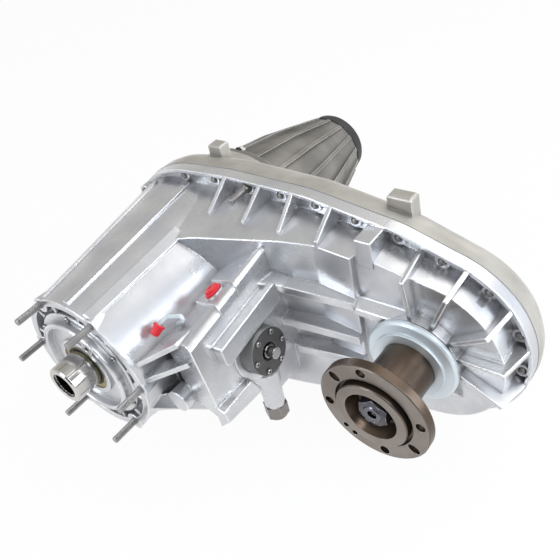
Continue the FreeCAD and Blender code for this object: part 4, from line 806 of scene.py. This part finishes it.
parting_y = 213.0
bead_outline = ((-1.5, -0.5), (0.05, -0.45), (0.35, 0), (0.05, 0.45), (-1.5, 0.5))
sealant = metal("sealant", light=(0.20, 0.20, 0.20), dark=(0.14, 0.14, 0.14), edge=(0.3, 0.3, 0.3),
                metallic=0.0, rough=0.55, corner=0.0003, grain=800, depth=0.0001, painted_shade=0.5)
bm = bmesh.new()
rows = []
for grow, y in bead_outline:
    rows.append([bm.verts.new((x / 1000, (parting_y + y) / 1000, z / 1000)) for x, z in rim_outline(grow)])
skin_round(bm, rows)
bead = piece("sealant_bead", bm, sealant)
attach(bead, "case")

# Inside spline of the input shaft: teeth cut into its bore, in the same ground steel.
# The transmission's shaft slides into them.
spline_teeth = 26
spline_root_r = 16.0
spline_tip_r = 14.3
tooth = [(-1.55, spline_root_r), (-0.75, spline_tip_r), (0.75, spline_tip_r), (1.55, spline_root_r)]
bm = bmesh.new()
rod(bm, tooth, 0, 0, y0=-33.5, y1=26.0)
unit = piece("unit", bm, ground_steel)
teeth = repeated("input_spline", unit, [(0, 0, 0)] * spline_teeth, ground_steel,
                 [(0, 2 * math.pi * i / spline_teeth, 0) for i in range(spline_teeth)])
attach(teeth, "input")

# Seal of the input shaft: a pressed steel case, passivated yellow, round a black rubber lip.
# It is pressed into the retainer, and a spring holds its lip on the shaft.
brass_case = metal("brass_case", light=(0.42, 0.38, 0.20), dark=(0.26, 0.23, 0.12),
                   edge=(0.75, 0.70, 0.45), metallic=0.9, rough=0.3, corner=0.0004, grain=900,
                   depth=0.00001, painted_shade=0.9)
seal_r = 30.98
lip_r = 22.56
bm = bmesh.new()
lathe(bm, [(25.5, -2.6), (27.2, -3.0), (30.4, -3.0), (seal_r, -2.4), (seal_r, 4), (28.5, 4), (28.5, -0.6),
           (26.2, -0.6)])
case_ring = piece("seal_case", bm, brass_case)
bm = bmesh.new()
lathe(bm, [(lip_r, -2.2), (22.9, -2.7), (24.6, -1.6), (25.6, -2.5), (26.1, -0.7), (28.4, -0.5),
           (28.4, 3.9), (26.0, 3.9), (25.2, 1.2), (23.0, 2.6), (lip_r, 1.4)])
lip = piece("seal_lip", bm, rubber)
for part in (case_ring, lip):
    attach(part, "case")
    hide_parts("input_seal")


# Port plug: a red cap of soft plastic with gripping ribs round its side.
# It is pushed into the open port on the shift box for shipping.
def ribbed_cap(bm, profile, ribs, depth, foot, way):
    """A closed cap with flutes round its side, from (radius, height) along a direction."""
    steps = ribs * 6
    smooth_r = 3
    turn = Vector((0, 0, 1)).rotation_difference(Vector(way))
    rows = []
    for i in range(steps):
        a = 2 * math.pi * i / steps
        flute = depth * (0.5 - 0.5 * math.cos(ribs * a))
        row = []
        for r, h in profile:
            at_r = r - flute if r > smooth_r else r
            at = Vector((at_r * math.cos(a), at_r * math.sin(a), h))
            row.append(bm.verts.new((turn @ at + Vector(foot)) / 1000))
        rows.append(row)
    skin_round(bm, rows, closed=False)


red_cap = metal("red_cap", light=(0.80, 0.012, 0.035), dark=(0.62, 0.01, 0.02), edge=(0.9, 0.15, 0.15),
                metallic=0.0, rough=0.38, corner=0.0008, grain=900, depth=0.00002, painted_shade=0.3)
plug_outline = [(0, -8), (5.9, -8), (6, 0), (9.8, 0), (10, 0.5), (10, 2.2), (9.6, 2.6), (8.0, 2.9),
                (7.9, 5.2), (7.2, 6.0), (3.4, 6.0), (3.0, 5.2), (0, 5.0)]
port_way = Vector((-0.553, -0.165, 0.817)).normalized()
port_rim = 3
port_foot = Vector((127, 96.5, 69)) + port_way * port_rim
bm = bmesh.new()
ribbed_cap(bm, plug_outline, ribs=18, depth=0.5, foot=port_foot, way=port_way)
plug = piece("red_plug", bm, red_cap)
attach(plug, "case")
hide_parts("port_plug")

# Cap of the breather tube: the same red plastic, long and slightly tapered.
# It is pushed over the bent tube's open end and comes off before use.
cap_outline = [(0, 0), (6.4, 0), (6.6, 0.5), (6.5, 1.3), (6.0, 1.8), (5.6, 2.6), (4.9, 10.6),
               (4.3, 11.6), (3.0, 12), (0, 12)]
tip = Vector((92.8, 40.5, 56.8))
before_tip = Vector((93.5, 43.5, 59))
tip_way = (tip - before_tip).normalized()
pushed_on = 3
bm = bmesh.new()
ribbed_cap(bm, cap_outline, ribs=14, depth=0.35, foot=tip - tip_way * pushed_on, way=tip_way)
cap = piece("vent_cap_detail", bm, red_cap)
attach(cap, "case")
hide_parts("vent_cap")

# Boot of the tail: moulded black rubber that grips the end of the extension.
# Its lip seals the yoke that slides in the bushing.
boot_bore_r = 24.3
seat_r = 39.4
boot_back = 503
boot_inside = [(boot_bore_r, 489.1), (seat_r, 489.1), (seat_r, 495.1), (42.6, 495.1), (45.9, 482)]
boot_outside = [(46.8, 481.6), (47.2, 483), (46.6, 486), (46.0, 486.4), (44.4, 496), (42.4, 499.2),
                (38, 500.2), (36.4, boot_back)]
boot_lip = [(31, boot_back), (28, 500), (24.6, 500.4), (boot_bore_r, 497)]
bm = bmesh.new()
lathe(bm, boot_inside + boot_outside + boot_lip)
boot = piece("tail_boot", bm, rubber)
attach(boot, "case")
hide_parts("tail_seal")

# Drain plug: a dark hexagon cap as wide as the spout that it closes, with a round socket.
# It is screwed into the spout from below.
drain = (150.0, 112.0, -107.0)
drain_af = 24.6
drain_half = 9.0
socket_r = 5.0
socket_floor = -3.0
bm = bmesh.new()
hexagon(bm, drain_af, 0, 0, -drain_half, drain_half, chamfer=1.2, bore=socket_r)
lathe(bm, [(0, socket_floor), (socket_r + 0.2, socket_floor), (socket_r + 0.2, 2.0), (0, 2.0)], steps=24)
bmesh.ops.rotate(bm, verts=bm.verts, matrix=Matrix.Rotation(math.pi / 2, 3, "X"))
bmesh.ops.translate(bm, verts=bm.verts, vec=[at / 1000 for at in drain])
drain_cap = piece("drain_cap", bm, dark_bolt)
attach(drain_cap, "case")
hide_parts("drain_plug")

# Camera at the photograph's angle: in front of the case, on its output side and above it.
# Its place, its turn and its lens come from a fit of the shafts, the rim and the studs.
camera = put("camera", bpy.data.cameras.new("camera"))
right = Vector((0.7895925, 0.5840807, -0.1881314))
down = Vector((0.2527863, -0.5889731, -0.7676000))
ahead = Vector((-0.5591447, 0.5585342, -0.6126964))
turn = Matrix((right, -down, -ahead)).transposed().to_4x4()
turn.translation = Vector((0.584386, -0.267502, 0.516909))
camera.matrix_world = turn
sensor = 36.0
focal_pixels = 730.03
picture_pixels = 560.0
camera.data.sensor_width = sensor
camera.data.lens = sensor * focal_pixels / picture_pixels
camera.data.clip_start = 0.01
scene.camera = camera

# Floor: pale paper under the object, which keeps the object's shadow.
# The camera and the metal see it lighter than the lamps alone would make it.
low_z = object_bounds()[0].z
floor_half = 6.0
paper_for_camera = 0.95
paper_for_metal = 0.9
floor_mesh = bpy.data.meshes.new("floor")
floor_mesh.from_pydata([(-floor_half, -floor_half, low_z), (floor_half, -floor_half, low_z),
                        (floor_half, floor_half, low_z), (-floor_half, floor_half, low_z)],
                       [], [(0, 1, 2, 3)])
floor = put("floor", floor_mesh)
floor_mat = bpy.data.materials.new("floor")
floor_mat.use_nodes = True
tree = floor_mat.node_tree
surface = tree.nodes["Principled BSDF"]
surface.inputs["Base Color"].default_value = (0.72, 0.72, 0.73, 1)
surface.inputs["Roughness"].default_value = 0.9
path = add(tree, "ShaderNodeLightPath").outputs
mirrored = calc(tree, "MULTIPLY", path["Is Glossy Ray"], paper_for_metal)
seen = calc(tree, "MULTIPLY_ADD", path["Is Camera Ray"], paper_for_camera, mirrored)
glow = add(tree, "ShaderNodeEmission")
blend = add(tree, "ShaderNodeMixShader", {"Fac": seen, 1: surface.outputs["BSDF"],
                                          2: glow.outputs["Emission"]})
feed(tree, tree.nodes["Material Output"].inputs["Surface"], blend.outputs["Shader"])
floor_mesh.materials.append(floor_mat)


# Lamps: four soft boxes, one high behind the object and three round its front and right.
# The high one is a little warm, and the others are a little blue, as daylight is.
def lamp(name, place, toward, width, height, power, tint):
    """A soft box at a place, turned toward a point."""
    light = bpy.data.lights.new(name, "AREA")
    light.shape = "RECTANGLE"
    light.size = width
    light.size_y = height
    light.energy = power
    light.color = tint
    o = put(name, light)
    o.location = place
    o.rotation_euler = (Vector(toward) - Vector(place)).to_track_quat("-Z", "Y").to_euler()


warm = (1.0, 0.985, 0.96)
near_white = (0.97, 0.985, 1.0)
cool = (0.86, 0.93, 1.0)
middle = (0.1, 0.1, 0)
lamp("above", (0.6, 1.1, 1.25), (0.1, 0.15, 0), width=1.3, height=1.3, power=8.5, tint=warm)
lamp("camera_side", (1.2, -0.5, 1.1), middle, width=0.7, height=0.7, power=9, tint=near_white)
lamp("front_left", (-0.5, -1.5, 0.7), middle, width=0.6, height=1.0, power=14, tint=cool)
lamp("right", (1.6, 0.6, 0.45), (0.2, 0.1, 0), width=0.6, height=0.9, power=15, tint=cool)

# Room: white for the camera. For the metal it is bright above the back left corner
# and falls off to dark walls on the other side, so that each face has its own tone.
world = bpy.data.worlds.new("room")
world.use_nodes = True
scene.world = world
tree = world.node_tree
room = tree.nodes["Background"]
room.inputs["Strength"].default_value = 0.85
bright_way = Vector((-0.6, 0.5, 0.62)).normalized()
way = add(tree, "ShaderNodeTexCoord").outputs["Generated"]
toward_bright = stretched(tree, alike(tree, way, bright_way), low=-0.8, high=0.9)
walls = add(tree, "ShaderNodeValToRGB", {"Fac": toward_bright})
stops = walls.color_ramp.elements
stops[0].color = (0.05, 0.06, 0.075, 1)
stops[1].color = (0.68, 0.665, 0.63, 1)
for at, colour in ((0.35, (0.25, 0.29, 0.35)), (0.70, (1.0, 1.0, 1.0)), (0.88, (0.95, 0.95, 0.95))):
    stops.new(at).color = (*colour, 1)
feed(tree, room.inputs["Color"], walls.outputs["Color"])
paper = add(tree, "ShaderNodeBackground", {"Color": (1, 1, 1, 1)})
path = add(tree, "ShaderNodeLightPath").outputs
blend = add(tree, "ShaderNodeMixShader", {"Fac": path["Is Camera Ray"], 1: room.outputs["Background"],
                                          2: paper.outputs["Background"]})
feed(tree, tree.nodes["World Output"].inputs["Surface"], blend.outputs["Shader"])
scene.view_settings.view_transform = "Standard"
